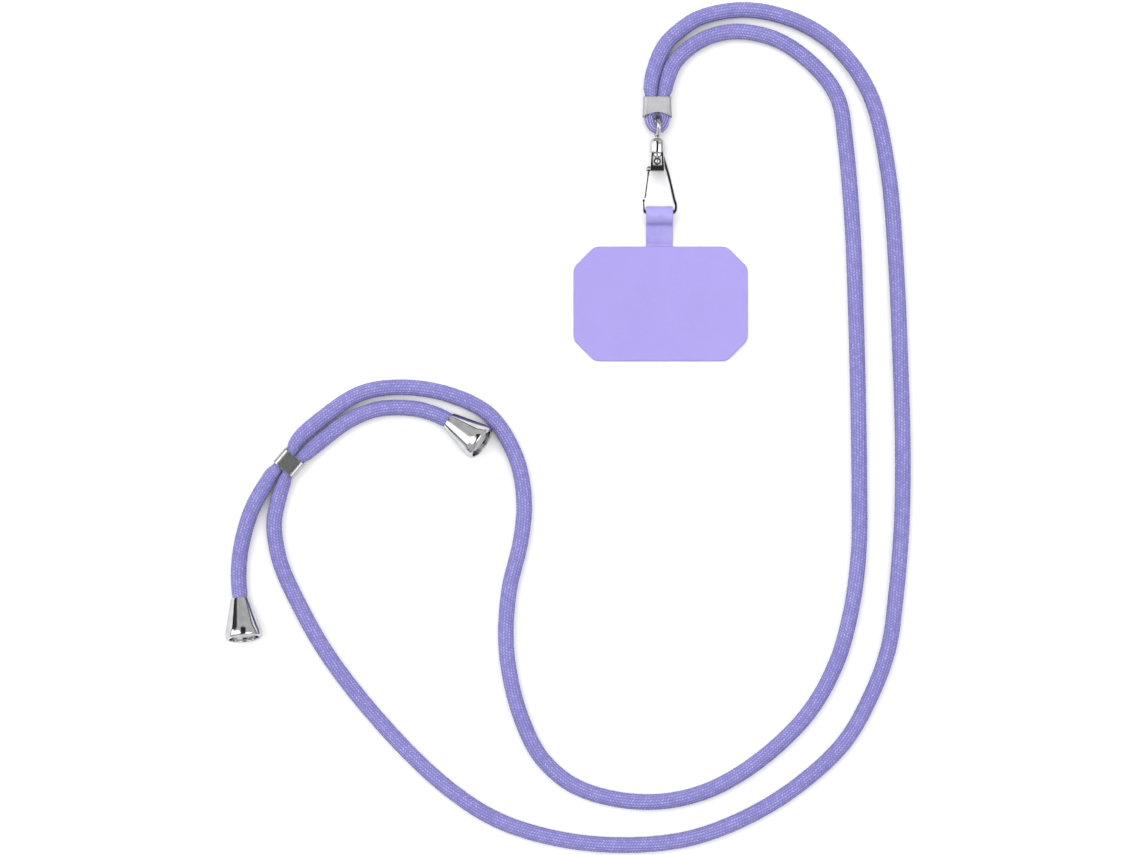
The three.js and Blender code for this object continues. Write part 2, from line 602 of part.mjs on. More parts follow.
const { cone_end_upper: upper, cone_end_lower: lower } = CONES;
piece('cord_outer_strand', strand(-1, OUTER_ROUTE, 1, 1, OUTER_END_ROUTE, upper), cordMaterial);
piece('cord_inner_strand', strand(1, INNER_ROUTE, -1, -1, INNER_END_ROUTE, lower), cordMaterial);
piece('cord_bight', bight(), cordMaterial);
piece('crimp_ferrule', sleeve(crimp, CRIMP_LENGTH, CRIMP_CORNER), satinMaterial,
  crimpCentre.toArray());
const slideFerrule = piece('slide_ferrule', sleeve(slide, SLIDE_LENGTH, SLIDE_CORNER),
  satinMaterial, slideCentre.toArray());
slideFerrule.rotation.z = SLIDE_HEADING - Math.PI / 2;

for (const [name, cone] of Object.entries(CONES)) {
  const mesh = piece(name, coneEnd(), chromeMaterial, cone.place.toArray());
  const level = new THREE.Vector3(-Math.sin(cone.heading), Math.cos(cone.heading), 0);
  const down = new THREE.Vector3().crossVectors(cone.axis, level);
  if (down.z > 0) {
    down.negate();
    level.negate();
  }
  level.crossVectors(cone.axis, down);
  mesh.quaternion.setFromRotationMatrix(new THREE.Matrix4().makeBasis(level, cone.axis, down));
}

piece('hook_eye', hookEye(), chromeMaterial, [CRIMP_X, eyeY, AXIS_HEIGHT]);
piece('hook_frame', hookFrame(), chromeMaterial, [CRIMP_X, hookY, AXIS_HEIGHT]);
piece('hook_gate', hookGate(), chromeMaterial,
  [CRIMP_X + PIVOT_X, hookY - PIVOT_DROP, AXIS_HEIGHT]);
piece('gate_pin', postAt(PIN_RADIUS, HEAD_DEPTH + GAP, 0, 0, 12), chromeMaterial,
  [CRIMP_X + PIVOT_X, hookY - PIVOT_DROP, AXIS_HEIGHT]);

const tab = piece('webbing_tab', webbingTab(), webbingMaterial, [CRIMP_X + TAB_CENTRE_X, 0, 0]);
tab.quaternion.setFromRotationMatrix(new THREE.Matrix4().makeBasis(
  new THREE.Vector3(0, 1, 0), new THREE.Vector3(0, 0, 1), new THREE.Vector3(1, 0, 0)));

piece('phone_pad', phonePad(), padMaterial, [0, padTopY - PAD_LENGTH / 2, PAD_THICKNESS / 2]);

export default strap;
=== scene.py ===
import bpy
import numpy as np
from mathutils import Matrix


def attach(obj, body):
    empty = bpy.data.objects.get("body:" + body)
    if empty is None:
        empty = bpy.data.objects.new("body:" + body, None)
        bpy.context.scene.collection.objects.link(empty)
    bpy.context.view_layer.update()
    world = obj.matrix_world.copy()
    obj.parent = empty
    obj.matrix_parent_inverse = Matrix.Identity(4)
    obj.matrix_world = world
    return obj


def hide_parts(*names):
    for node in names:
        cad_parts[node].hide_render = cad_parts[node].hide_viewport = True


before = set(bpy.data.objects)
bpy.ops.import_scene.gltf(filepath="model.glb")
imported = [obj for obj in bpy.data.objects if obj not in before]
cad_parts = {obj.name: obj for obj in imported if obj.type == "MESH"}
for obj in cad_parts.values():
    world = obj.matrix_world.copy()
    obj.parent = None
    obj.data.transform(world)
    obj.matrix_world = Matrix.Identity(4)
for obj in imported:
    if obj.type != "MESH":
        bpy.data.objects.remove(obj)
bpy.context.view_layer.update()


# Camera. The strap is seen from straight above, in a frame that spans 353.4 mm at the height
# of the cord. A long lens 1.5 m up keeps the parts at the sides from leaning outwards.
LOOK_AT = (-0.02813, -0.0615)
FRAME_WIDTH = 0.3534
CAMERA_RISE = 1.5
CORD_MIDDLE = 0.003
SENSOR = 36

lens = bpy.data.cameras.new("camera_above")
lens.sensor_width = SENSOR
lens.lens = SENSOR * CAMERA_RISE / FRAME_WIDTH
camera = bpy.data.objects.new("camera_above", lens)
camera.location = (*LOOK_AT, CORD_MIDDLE + CAMERA_RISE)
bpy.context.collection.objects.link(camera)
bpy.context.scene.camera = camera


# Cone ends. Each strand of the cord ends in a die-cast, chromed cone, glued on over the cord,
# with a rolled rim and a recessed end face with a raised button. They lie on their sides.
MM = 0.001
CONE_MOUTH = 2.9
CONE_RIM = 5.7
CONE_RIM_AT = 10.8
CONE_LENGTH = 12.8
CONE_BORE = 2.4
CONE_BORE_DEPTH = 6.8
CONE_SEGMENTS = 96
CONE_GRID = 1.2
STRAND_END_GAP = 0.3
CONE_TILT = np.arctan2(CONE_RIM - CONE_MOUTH, CONE_RIM_AT)
UPPER_CONE = {"mouth": (-65.5, -59.5), "heading": -35.2}
LOWER_CONE = {"mouth": (-130.4, -114.6), "heading": -83.3}
CONE_PROFILE = [
    (0.4, CONE_BORE_DEPTH, 0.1), (CONE_BORE, CONE_BORE_DEPTH, 0.2), (CONE_BORE, 0.0, 0.12),
    (CONE_MOUTH, 0.0, 0.16), (CONE_RIM, CONE_RIM_AT, 0.9), (CONE_RIM, CONE_LENGTH, 0.95),
    (4.55, CONE_LENGTH, 0.25), (4.4, CONE_LENGTH - 2.0, 0.2), (3.45, CONE_LENGTH - 2.0, 0.2),
    (3.2, CONE_LENGTH - 0.7, 0.2), (0.4, CONE_LENGTH - 0.62, 0.1),
]


class Wire:
    """What a shader node gives out. A sum written with it adds the Math node that works it out."""

    def __init__(self, paint, output):
        self.paint = paint
        self.output = output

    def maths(self, operation, *terms):
        return self.paint.node("ShaderNodeMath", {"operation": operation}, terms)

    def __add__(self, other):
        return self.maths("ADD", self, other)

    def __sub__(self, other):
        return self.maths("SUBTRACT", self, other)

    def __rsub__(self, other):
        return self.maths("SUBTRACT", other, self)

    def __mul__(self, other):
        return self.maths("MULTIPLY", self, other)

    def __truediv__(self, other):
        return self.maths("DIVIDE", self, other)

    def __abs__(self):
        return self.maths("ABSOLUTE", self)

    __radd__ = __add__
    __rmul__ = __mul__


class Paint:
    """The node tree of a material or of the world, with plain values set on its own shader."""

    def __init__(self, owner, **plain):
        owner.use_nodes = True
        self.material = owner
        self.tree = owner.node_tree
        self.shader = self.tree.nodes.get("Principled BSDF") or self.tree.nodes["Background"]
        for socket, value in plain.items():
            self.feed(self.shader.inputs[socket.replace("_", " ")], value)

    def feed(self, socket, value):
        if isinstance(value, Wire):
            self.tree.links.new(value.output, socket)
        else:
            socket.default_value = value

    def node(self, kind, settings, inputs, output=0):
        """Adds a node of that kind: its settings first, then its inputs, by place or by name."""
        made = self.tree.nodes.new(kind)
        for name, value in settings.items():
            setattr(made, name, value)
        for key, value in inputs.items() if isinstance(inputs, dict) else enumerate(inputs):
            self.feed(made.inputs[key], value)
        return Wire(self, made.outputs[output])

    def ease(self, value, low, high):
        """0 below low, 1 above high, and a smooth step between them."""
        return self.node("ShaderNodeMapRange", {"interpolation_type": "SMOOTHSTEP"},
                         {"Value": value, "From Min": low, "From Max": high})

    def mix(self, part, first, second):
        """first where part is 0, second where it is 1."""
        return self.node("ShaderNodeMix", {"data_type": "RGBA"}, {0: part, 6: first, 7: second}, 2)

    def noise(self, place, scale, detail=2.0):
        return self.node("ShaderNodeTexNoise", {}, {
            "Vector": place, "Scale": scale, "Detail": detail})

    def place(self):
        """Where a point of the piece is, in metres."""
        return self.node("ShaderNodeTexCoord", {}, {}, "Object")

    def part(self, vector, axis):
        """One of a vector's three parts: 0 for x, 1 for y, 2 for z."""
        return self.node("ShaderNodeSeparateXYZ", {}, [vector], axis)

    def colour(self, value):
        self.feed(self.shader.inputs["Base Color"], value)

    def relief(self, height, depth):
        """Raises and sinks the surface by the height, which runs from 0 to 1, times the depth."""
        self.feed(self.shader.inputs["Normal"], self.node("ShaderNodeBump", {}, {
            "Strength": 1.0, "Distance": depth, "Height": height}))


HAIR_SCALE = 900.0
HAIR_STRETCH = 14.0
CLOUD_SCALE = 420.0
CLOUD_SHADE = 0.86


def metal_finish(name, colour, roughness, spread, grain, grain_depth, painted_side_shade=None):
    """Polished or satin plating: cloudy roughness, hair scratches, and a grain of shallow waves.

    The last argument, (middle, near, far, share), is painted shade: the colour falls to that share
    of itself from near to far on either side of x = middle, in metres, dimming the reflections
    there."""
    finish = Paint(bpy.data.materials.new(name), Metallic=1.0,
                   Specular_Tint=(0.75, 0.75, 0.76, 1.0))
    place = finish.place()
    clouds = finish.noise(place, CLOUD_SCALE, 3.0)
    stretched = finish.node("ShaderNodeMapping", {}, {
        "Vector": place, "Rotation": (0.3, 0.2, 0.7), "Scale": (1.0, HAIR_STRETCH, HAIR_STRETCH)})
    hairs = finish.ease(finish.noise(stretched, HAIR_SCALE, 1.0), 0.62, 0.78)
    dark = tuple(CLOUD_SHADE * part for part in colour[:3]) + (1.0,)
    tone = finish.mix(finish.ease(clouds, 0.35, 0.7), colour, dark)
    # Painted shade: the colour darkens away from x = middle, dimming the reflections on the
    # piece's sides.
    if painted_side_shade:
        middle, near, far, share = painted_side_shade
        across = abs(finish.part(place, 0) - middle)
        painted_shade_tone = tuple(share * part for part in colour[:3]) + (1.0,)
        tone = finish.mix(finish.ease(across, near, far), tone, painted_shade_tone)
    finish.colour(tone)
    finish.feed(finish.shader.inputs["Roughness"],
                roughness + spread * clouds + 0.6 * spread * hairs)
    finish.relief(finish.noise(place, grain, 2.0), grain_depth)
    return finish.material


def rounded(corners, steps=5, closed=True):
    """Straight lines between corners (x, y, radius), each corner cut back by its radius and bent.

    From the cut at its start to the cut at its end a corner follows
    (1 - t)^2 start + 2 t (1 - t) corner + t^2 end. An open line keeps its first and last point."""
    rows = np.array(corners, float)
    place, radius = rows[:, :2], rows[:, 2:3]
    before, after = np.roll(place, 1, axis=0) - place, np.roll(place, -1, axis=0) - place
    start = place + before / np.linalg.norm(before, axis=1, keepdims=True) * radius
    end = place + after / np.linalg.norm(after, axis=1, keepdims=True) * radius
    if not closed:
        start[0] = end[0] = place[0]
        start[-1] = end[-1] = place[-1]
    t = np.linspace(0, 1, steps)[None, :, None]
    bend = (1 - t) ** 2 * start[:, None] + 2 * t * (1 - t) * place[:, None] + t ** 2 * end[:, None]
    line = bend.reshape(-1, 2)
    return line[np.linalg.norm(line - np.roll(line, 1, axis=0), axis=1) > 1e-6]


def finer(line, step, closed=False):
    """The same line with points added along its longer stretches, a step apart at most."""
    if closed:
        return finer(np.vstack([line, line[:1]]), step)[:-1]
    gaps = np.linalg.norm(np.diff(line, axis=0), axis=1)
    reach = np.concatenate([[0], np.cumsum(gaps)])
    places = np.concatenate([
        np.linspace(low, high, max(1, int(np.ceil((high - low) / step))), endpoint=False)
        for low, high in zip(reach[:-1], reach[1:])] + [reach[-1:]])
    return np.stack([np.interp(places, reach, column) for column in line.T], axis=1)


def turned(profile, origin, axis, side, segments):
    """A profile of rows (radius r, height h) turned about an axis.

    A point is origin + axis h + side r cos a + third r sin a, third being square to both."""
    axis, side = np.array(axis, float), np.array(side, float)
    third = np.cross(axis, side)
    angle = 2 * np.pi * np.arange(segments) / segments
    round_about = np.cos(angle)[:, None] * side + np.sin(angle)[:, None] * third
    return (np.array(origin) + profile[:, None, 1:2] * axis
            + profile[:, None, 0:1] * round_about[None])


def skin(grid, closed_rows=False, caps="fan", uv=None):
    """The faces between neighbouring points of a grid, as points, faces and a uv for each corner.

    Each row is a ring. The first and last get a fan to their middle or one flat face, unless the
    rows close too. Where the sum of the faces' corner products, six times the volume, is
    negative, they are turned over to point outwards."""
    rows, columns = grid.shape[:2]
    points = grid.reshape(-1, 3)
    j = np.arange(rows if closed_rows else rows - 1)[:, None]
    i = np.arange(columns)[None, :]
    corners = [(j, i), (j + 1, i), (j + 1, i + 1), (j, i + 1)]
    quads = np.stack([(a % rows) * columns + b % columns for a, b in corners], axis=2)
    quads = quads.reshape(-1, 4)
    if uv is None:
        uv = lambda a, b: (a * 1.0 / rows + 0 * b, b * 1.0 / columns + 0 * a)
    quad_uv = np.stack([np.stack(uv(a, b), axis=2) for a, b in corners], axis=2).reshape(-1, 4, 2)
    first, second, third, fourth = (points[quads[:, k]] - points.mean(axis=0) for k in range(4))
    volume = (np.einsum("ij,ij->i", first, np.cross(second, third))
              + np.einsum("ij,ij->i", first, np.cross(third, fourth))).sum()
    faces = quads.tolist()
    if not closed_rows:
        ring = np.arange(columns)
        low, high = ring, (rows - 1) * columns + ring
        if caps == "fan":
            points = np.vstack([points, points[low].mean(axis=0), points[high].mean(axis=0)])
            faces += [[len(points) - 2, a, b] for a, b in zip(low, np.roll(low, -1))]
            faces += [[len(points) - 1, b, a] for a, b in zip(high, np.roll(high, -1))]
            cap_corners = 6 * columns
        else:
            faces += [low.tolist(), high[::-1].tolist()]
            cap_corners = 2 * columns
        corner_uv = np.vstack([quad_uv.reshape(-1, 2), np.zeros((cap_corners, 2))])
    else:
        corner_uv = quad_uv.reshape(-1, 2)
    if volume < 0:
        sizes = [len(face) for face in faces]
        order = np.concatenate([np.arange(s, s - n, -1) for s, n in
                                zip(np.cumsum(sizes) - 1, sizes)])
        corner_uv = corner_uv[order]
        faces = [face[::-1] for face in faces]
    return points, faces, corner_uv


def piece(name, skins, finish):
    """One smooth object from several skins in millimetres, with its place in its mesh."""
    points, faces, uvs, count = [], [], [], 0
    for skin_points, skin_faces, skin_uv in skins:
        points.append(skin_points * MM)
        faces += [[corner + count for corner in face] for face in skin_faces]
        uvs.append(skin_uv)
        count += len(skin_points)
    mesh = bpy.data.meshes.new(name)
    mesh.from_pydata(np.vstack(points), [], faces)
    mesh.polygons.foreach_set("use_smooth", [len(face) < 5 for face in faces])
    mesh.uv_layers.new(name="surface").data.foreach_set("uv", np.vstack(uvs).ravel())
    mesh.materials.append(finish)
    mesh.update()
    made = bpy.data.objects.new(name, mesh)
    bpy.context.collection.objects.link(made)
    return made


chrome = metal_finish("polished_chrome", (0.57, 0.57, 0.58, 1.0), roughness=0.04, spread=0.06,
                      grain=260.0, grain_depth=0.00002)
cones = {}
for name, cone in (("cone_end_upper", UPPER_CONE), ("cone_end_lower", LOWER_CONE)):
    heading = np.radians(cone["heading"])
    axis = np.array([np.cos(heading) * np.cos(CONE_TILT), np.sin(heading) * np.cos(CONE_TILT),
                     np.sin(CONE_TILT)])
    level = np.array([-np.sin(heading), np.cos(heading), 0.0])
    place = np.array([*cone["mouth"], CONE_MOUTH * np.cos(CONE_TILT)])
    profile = finer(rounded(CONE_PROFILE, 6, closed=False), CONE_GRID)
    cones[name] = piece(f"chromed_{name}", [
        skin(turned(profile, place, axis, level, CONE_SEGMENTS))], chrome)
    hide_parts(name)
    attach(cones[name], "strap")
    cone["place"] = place
    cone["strand_end"] = place + axis * (CONE_BORE_DEPTH - STRAND_END_GAP)


# Slide ferrule. A short flat sleeve of satin metal through which the two strands pass side by
# side; it is pushed along them by hand to set the loop's length.
SLIDE_MIDDLE = np.array([-115.2, -72.5, 3.1])
SLIDE_HEADING = np.radians(49.7)
SLIDE_WIDTH = 8.1
SLIDE_HEIGHT = 6.2
SLIDE_LENGTH = 5.6
SLIDE_CORNER = 1.7
SLEEVE_WALL = 0.5
SLEEVE_MOUTH = 0.16
ARCH_START = 0.35


def sleeve(width, height, corner, length, middle, across, lengthways, foot=0.0, flare=0.0):
    """A rounded rectangle as a ring with a wall, its two mouths rounded over.

    A point is middle + across x + up z + lengthways y, where (x, z) is the outline moved inwards
    by how deep in the wall the point lies. At the foot the sides reach further by foot x^2 and
    spread by flare x^2, with x the share of the half width. Both grow from a line that lies
    ARCH_START of the half length past the middle."""
    x, z = width / 2, height / 2
    outline = finer(rounded([(x, z, corner), (-x, z, corner), (-x, -z, corner),
                             (x, -z, corner)], steps=12), 0.4, closed=True)
    tangent = np.roll(outline, -1, axis=0) - np.roll(outline, 1, axis=0)
    inwards = np.stack([-tangent[:, 1], tangent[:, 0]], axis=1)
    inwards /= np.linalg.norm(inwards, axis=1, keepdims=True)
    half = length / 2
    corners = [(0, -half), (0, half), (SLEEVE_WALL, half), (SLEEVE_WALL, -half)]
    wall = finer(rounded([(*place, SLEEVE_MOUTH) for place in corners]), 0.3, closed=True)
    flat = outline[None] + inwards[None] * wall[:, None, 0:1]
    side = (flat[:, :, 0:1] / x) ** 2
    low = np.clip(ARCH_START - wall[:, None, 1:2] / half, 0, 1 + ARCH_START) / (1 + ARCH_START)
    flat = flat * np.concatenate([1 + flare * side * low ** 2, 1 + 0 * side], axis=2)
    y = wall[:, None, 1:2] - foot * side * low
    return (middle + flat[:, :, 0:1] * across + flat[:, :, 1:2] * np.array([0, 0, 1.0])
            + y * lengthways)


slide_along = np.array([np.cos(SLIDE_HEADING), np.sin(SLIDE_HEADING), 0.0])
slide_across = np.array([np.sin(SLIDE_HEADING), -np.cos(SLIDE_HEADING), 0.0])
slide_metal = metal_finish("satin_slide", (0.52, 0.52, 0.53, 1.0), roughness=0.24, spread=0.06,
                           grain=900.0, grain_depth=0.000008)
slide = piece("slide_sleeve", [skin(sleeve(
    SLIDE_WIDTH, SLIDE_HEIGHT, SLIDE_CORNER, SLIDE_LENGTH, SLIDE_MIDDLE, slide_across,
    slide_along), closed_rows=True)], slide_metal)
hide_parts("slide_ferrule")
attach(slide, "strap")


# Cord. One braid of polyester yarn, 4.8 mm thick, folded in two at the crimp. Both strands lie
# loose on the floor, pass each other in the slide ferrule and end in the cones' bores.
CORD = 4.8
STITCH = 0.93
COLUMNS = 16
SIDES = 3 * COLUMNS
LEAN = 0.75
YARN_RELIEF = 0.17
YARN_SUNK = 0.75
YARN_LOOSE = 0.2
STITCH_END_FILL = 0.3
TWIST = 0.45
TWIST_LENGTH = 173.0
CALM_END = 2.0
PLEATS = 11
PLEAT_SLANT = 0.4
CRIMP_MIDDLE = np.array([-1.1, 38.5, 3.7])
CRIMP_LENGTH = 4.8
CRIMP_OFFSET = 1.85
SLIDE_OFFSET = 1.7
SLIDE_CLEARANCE = 0.3
CRIMP_HELD, CRIMP_HELD_UP = (1.8, 1.95), 2.15
CRIMP_FADE, CRIMP_FADE_UP = (8.0, 2.5), 4.0
CRIMP_REACH = 2.6
CRIMP_INSIDE = 0.15
SLIDE_HELD, SLIDE_FADE, SLIDE_REACH = (1.8, 1.66, 2.3), (3.0, 9.0, 4.0), 3.0
CONE_HELD, CONE_FADE, CONE_REACH = (2.3, 2.3, 2.3), (1.5, 1.5, 1.5), 7.2
CORD_LOWEST = 0.01
METRE = 1000
# Painted shade: the colour given between stitches, in the gaps between pleats and on the cord's
# lower part.
PAINTED_SHADE_COLOUR = (0.091, 0.0805, 0.238, 1.0)
YARN_DEEP = (0.194, 0.184, 0.432, 1.0)
YARN_PALE = (0.284, 0.27, 0.547, 1.0)
# Painted highlight: the paler colour given to the crowns of stitches picked at random.
CROWN_HIGHLIGHT_COLOUR = (0.392, 0.385, 0.651, 1.0)
# Painted highlight: the paler colour given to the ridges of the bight's pleats.
PLEAT_RIDGE_HIGHLIGHT = (0.60, 0.57, 0.78, 1.0)
OUTER_ROUTE = [
    (-0.0027, 0.0462, 0.0032), (-0.0010, 0.0524, 0.0026), (0.0016, 0.0574, 0.0024),
    (0.0060, 0.0617, 0.0024), (0.0122, 0.0656, 0.0024), (0.0246, 0.0680, 0.0024),
    (0.0370, 0.0663, 0.0024), (0.0494, 0.0606, 0.0024), (0.0587, 0.0519, 0.0024),
    (0.0656, 0.0400, 0.0024), (0.0705, 0.0180, 0.0024), (0.0729, -0.0096, 0.0024),
    (0.0743, -0.0400, 0.0024), (0.0751, -0.0700, 0.0024), (0.0747, -0.0920, 0.0024),
    (0.0728, -0.1150, 0.0024), (0.0706, -0.1300, 0.0024), (0.0653, -0.1445, 0.0024),
    (0.0570, -0.1590, 0.0024), (0.0435, -0.1718, 0.0024), (0.0275, -0.1819, 0.0024),
    (0.0090, -0.1889, 0.0024), (-0.0100, -0.1910, 0.0024), (-0.0300, -0.1894, 0.0024),
    (-0.0498, -0.1836, 0.0024), (-0.0653, -0.1739, 0.0024), (-0.0830, -0.1572, 0.0024),
    (-0.1022, -0.1336, 0.0024), (-0.1129, -0.1150, 0.0024), (-0.1182, -0.1026, 0.0024),
    (-0.1199, -0.0915, 0.0024), (-0.1186, -0.0840, 0.0025),
]
OUTER_END_ROUTE = [
    (-0.1056, -0.0659, 0.0026), (-0.0963, -0.0591, 0.0024), (-0.0870, -0.0557, 0.0024),
    (-0.0746, -0.0560, 0.0024),
]
INNER_ROUTE = [
    (0.0020, 0.0462, 0.0032), (0.0044, 0.0518, 0.0026), (0.0091, 0.0564, 0.0024),
    (0.0159, 0.0600, 0.0024), (0.0246, 0.0613, 0.0024), (0.0370, 0.0583, 0.0024),
    (0.0494, 0.0488, 0.0024), (0.0551, 0.0400, 0.0024), (0.0572, 0.0276, 0.0024),
    (0.0594, 0.0020, 0.0024), (0.0605, -0.0250, 0.0024), (0.0612, -0.0520, 0.0024),
    (0.0616, -0.0800, 0.0024), (0.0614, -0.1000, 0.0024), (0.0592, -0.1175, 0.0024),
    (0.0546, -0.1342, 0.0024), (0.0458, -0.1500, 0.0024), (0.0310, -0.1644, 0.0024),
    (0.0153, -0.1738, 0.0024), (-0.0002, -0.1775, 0.0024), (-0.0157, -0.1764, 0.0024),
    (-0.0281, -0.1719, 0.0024), (-0.0374, -0.1634, 0.0024), (-0.0430, -0.1522, 0.0024),
    (-0.0465, -0.1398, 0.0024), (-0.0480, -0.1274, 0.0024), (-0.0470, -0.1120, 0.0024),
    (-0.0433, -0.0960, 0.0024), (-0.0424, -0.0840, 0.0024), (-0.0450, -0.0705, 0.0024),
    (-0.0532, -0.0576, 0.0024), (-0.0660, -0.0512, 0.0024), (-0.0808, -0.0490, 0.0024),
    (-0.0932, -0.0510, 0.0024), (-0.1052, -0.0588, 0.0025), (-0.1117, -0.0646, 0.0028),
]
INNER_END_ROUTE = [
    (-0.1214, -0.0775, 0.0028), (-0.1268, -0.0870, 0.0024), (-0.1300, -0.0980, 0.0024),
    (-0.1309, -0.1065, 0.0024),
]


def smooth_route(knots, steps=32):
    """A centripetal Catmull-Rom curve: knots spaced by the square root of their distance.

    Each stretch blends three straight lines into two, and those into one between its two
    middle knots."""
    knots = np.array(knots, float)
    line = np.vstack([2 * knots[0] - knots[1], knots, 2 * knots[-1] - knots[-2]])
    a, b, c, d = (line[k:len(line) - 3 + k, None] for k in range(4))
    first = np.linalg.norm(b - a, axis=2, keepdims=True) ** 0.5
    second = first + np.linalg.norm(c - b, axis=2, keepdims=True) ** 0.5
    third = second + np.linalg.norm(d - c, axis=2, keepdims=True) ** 0.5
    t = first + (second - first) * np.arange(steps)[None, :, None] / steps
    blend = lambda p, q, low, high: p + (q - p) * (t - low) / (high - low)
    ab, bc, cd = blend(a, b, 0, first), blend(b, c, first, second), blend(c, d, second, third)
    curve = blend(blend(ab, bc, 0, second), blend(bc, cd, first, third), first, second)
    return np.vstack([curve.reshape(-1, knots.shape[1]), knots[-1]])


def along(curve):
    """How far along the curve each of its points lies."""
    steps = np.linalg.norm(np.diff(curve, axis=0), axis=1)
    return np.concatenate([[0], np.cumsum(steps)])


def at(places, reach, values):
    """The values of a curve, column by column, at those places along it."""
    return np.stack([np.interp(places, reach, column) for column in values.T], axis=-1)


def step(value, low, high):
    """0 below low, 1 above high, t^2 (3 - 2 t) between."""
    t = np.clip((value - low) / (high - low), 0, 1)
    return t * t * (3 - 2 * t)


def braid(curve, widths, stitch, seed, folds=0.0):
    """The braid's surface along a curve, as rings in a zigzag, with its uv in stitches.

    A point is centre + across w cos a + up h sin a, w the half width on its side. Sixteen
    columns of stitches lean to the right and to the left by turns: the ring runs ahead and back by
    the lean. A stitch is three rings by three sides, sunk at its borders and full in its middle.
    Pleats run along the braid at a slant, sunk by folds (1 - cos phase) / 2 between them."""
    reach = along(curve)
    rings = int(round(reach[-1] / (stitch / 3)))
    j = np.arange(rings + 1)[:, None]
    i = np.arange(SIDES)[None, :]
    zigzag = np.abs((i + 3) % 6 - 3) / 3 - 0.5
    middle = reach[-1] * j / rings
    ends = step(np.minimum(middle, reach[-1] - middle), 0, CALM_END)
    s = np.clip(middle + LEAN * stitch / STITCH * zigzag * ends, 0, reach[-1])
    centre = at(s, reach, curve)
    tangent = at(s, reach, np.gradient(curve, reach, axis=0))
    across = np.stack([tangent[..., 1], -tangent[..., 0], 0 * s], axis=-1)
    across /= np.linalg.norm(across, axis=2, keepdims=True)
    up = np.cross(across, tangent)
    up /= np.linalg.norm(up, axis=2, keepdims=True)
    angle = 2 * np.pi * i / SIDES + TWIST * np.sin(2 * np.pi * middle / TWIST_LENGTH + seed)
    right, left, height = (np.interp(s, reach, value) for value in widths)
    column, row = i // 3, (j - i // 3) // 3
    draw = np.random.default_rng(seed).uniform(-1, 1, (row.max() - row.min() + 1, COLUMNS))
    loose = draw[row - row.min(), column + 0 * j]
    fill = np.where(i % 3 == 0, 0.0, np.where((j - i // 3) % 3 == 0, STITCH_END_FILL, 1.0))
    relief = YARN_RELIEF * stitch / STITCH * (fill * (1 + YARN_LOOSE * loose) - YARN_SUNK)
    phase = 2 * np.pi * PLEATS * i / SIDES + PLEAT_SLANT * j / 3
    relief = relief - folds * (0.5 - 0.5 * np.cos(phase)) * ends
    x = np.cos(angle) * (np.where(np.cos(angle) > 0, right, left) + relief)
    z = np.sin(angle) * (height + relief)
    grid = centre + across * x[..., None] + up * z[..., None]
    grid[..., 2] = np.maximum(grid[..., 2], CORD_LOWEST)
    uv = lambda a, b: (b / 3 + 0 * a, a / 3 - np.minimum(i, b) // 3 / 3 + 0 * a)
    return skin(grid, uv=uv), centre.mean(axis=1)


def braid_finish(name, pleated=False):
    """Lilac polyester yarn: fine threads along each stitch, painted shade between stitches and on
    the cord's lower part, and painted highlights on the crowns of some stitches.

    Where the braid is pleated, its ridges get a painted highlight and the gaps between them get
    painted shade, in place of the painted shade on the lower part."""
    finish = Paint(bpy.data.materials.new(name), Roughness=0.82, Sheen_Weight=0.15,
                   Sheen_Roughness=0.45, Sheen_Tint=(0.80, 0.78, 1.0, 1.0),
                   Specular_IOR_Level=0.3)
    uv = finish.node("ShaderNodeUVMap", {"uv_map": "surface"}, {})
    u, v = finish.part(uv, 0), finish.part(uv, 1)
    over, on = u.maths("FRACT", u), v.maths("FRACT", v)
    cell = finish.node("ShaderNodeCombineXYZ", {}, [u.maths("FLOOR", u), v.maths("FLOOR", v)])
    chance = finish.node("ShaderNodeTexWhiteNoise", {"noise_dimensions": "2D"}, {"Vector": cell})
    side = 1 - abs(2 * over - 1)
    end = 1 - abs(2 * on - 1)
    crown = finish.ease(side, 0.0, 0.75) * finish.ease(end, 0.0, 0.7)
    tone = finish.noise(finish.place(), 55.0)
    yarn = finish.mix(finish.ease(0.5 * chance + 0.5 * tone, 0.1, 0.9), YARN_DEEP, YARN_PALE)
    # Painted highlight on the crowns of stitches picked at random.
    yarn = finish.mix(0.2 * crown * finish.ease(chance, 0.6, 1.0), yarn, CROWN_HIGHLIGHT_COLOUR)
    if pleated:
        phase = 2 * np.pi * PLEATS / COLUMNS * u + PLEAT_SLANT * (v + u.maths("FLOOR", u) / 3)
        ridge = 0.5 + 0.5 * u.maths("COSINE", phase)
        # Painted highlight on the ridges of the pleats, stronger on some at random.
        yarn = finish.mix(finish.ease(ridge, 0.4, 0.9) * (0.5 + 0.45 * chance), yarn,
                          PLEAT_RIDGE_HIGHLIGHT)
        # Painted shade in the gaps between the pleats.
        low_part_painted_shade = finish.ease(ridge, 0.05, 0.45)
    else:
        # Painted shade on the cord's lower part: full at 2.2 mm above the floor, gone by 4.0 mm.
        low_part_painted_shade = finish.ease(finish.part(finish.place(), 2), 0.0022, 0.0040)
    # Painted shade between stitches, times the painted shade set just above.
    painted_shade_mask = (0.25 + 0.75 * crown) * (0.35 + 0.65 * low_part_painted_shade)
    finish.colour(finish.mix(painted_shade_mask, PAINTED_SHADE_COLOUR, yarn))
    threads = 0.5 + 0.5 * on.maths("SINE", 25.13 * on)
    fuzz = finish.noise(finish.place(), 9000.0, 1.0)
    finish.relief(0.55 * crown + 0.25 * threads + 0.2 * fuzz, 0.00009)
    return finish.material


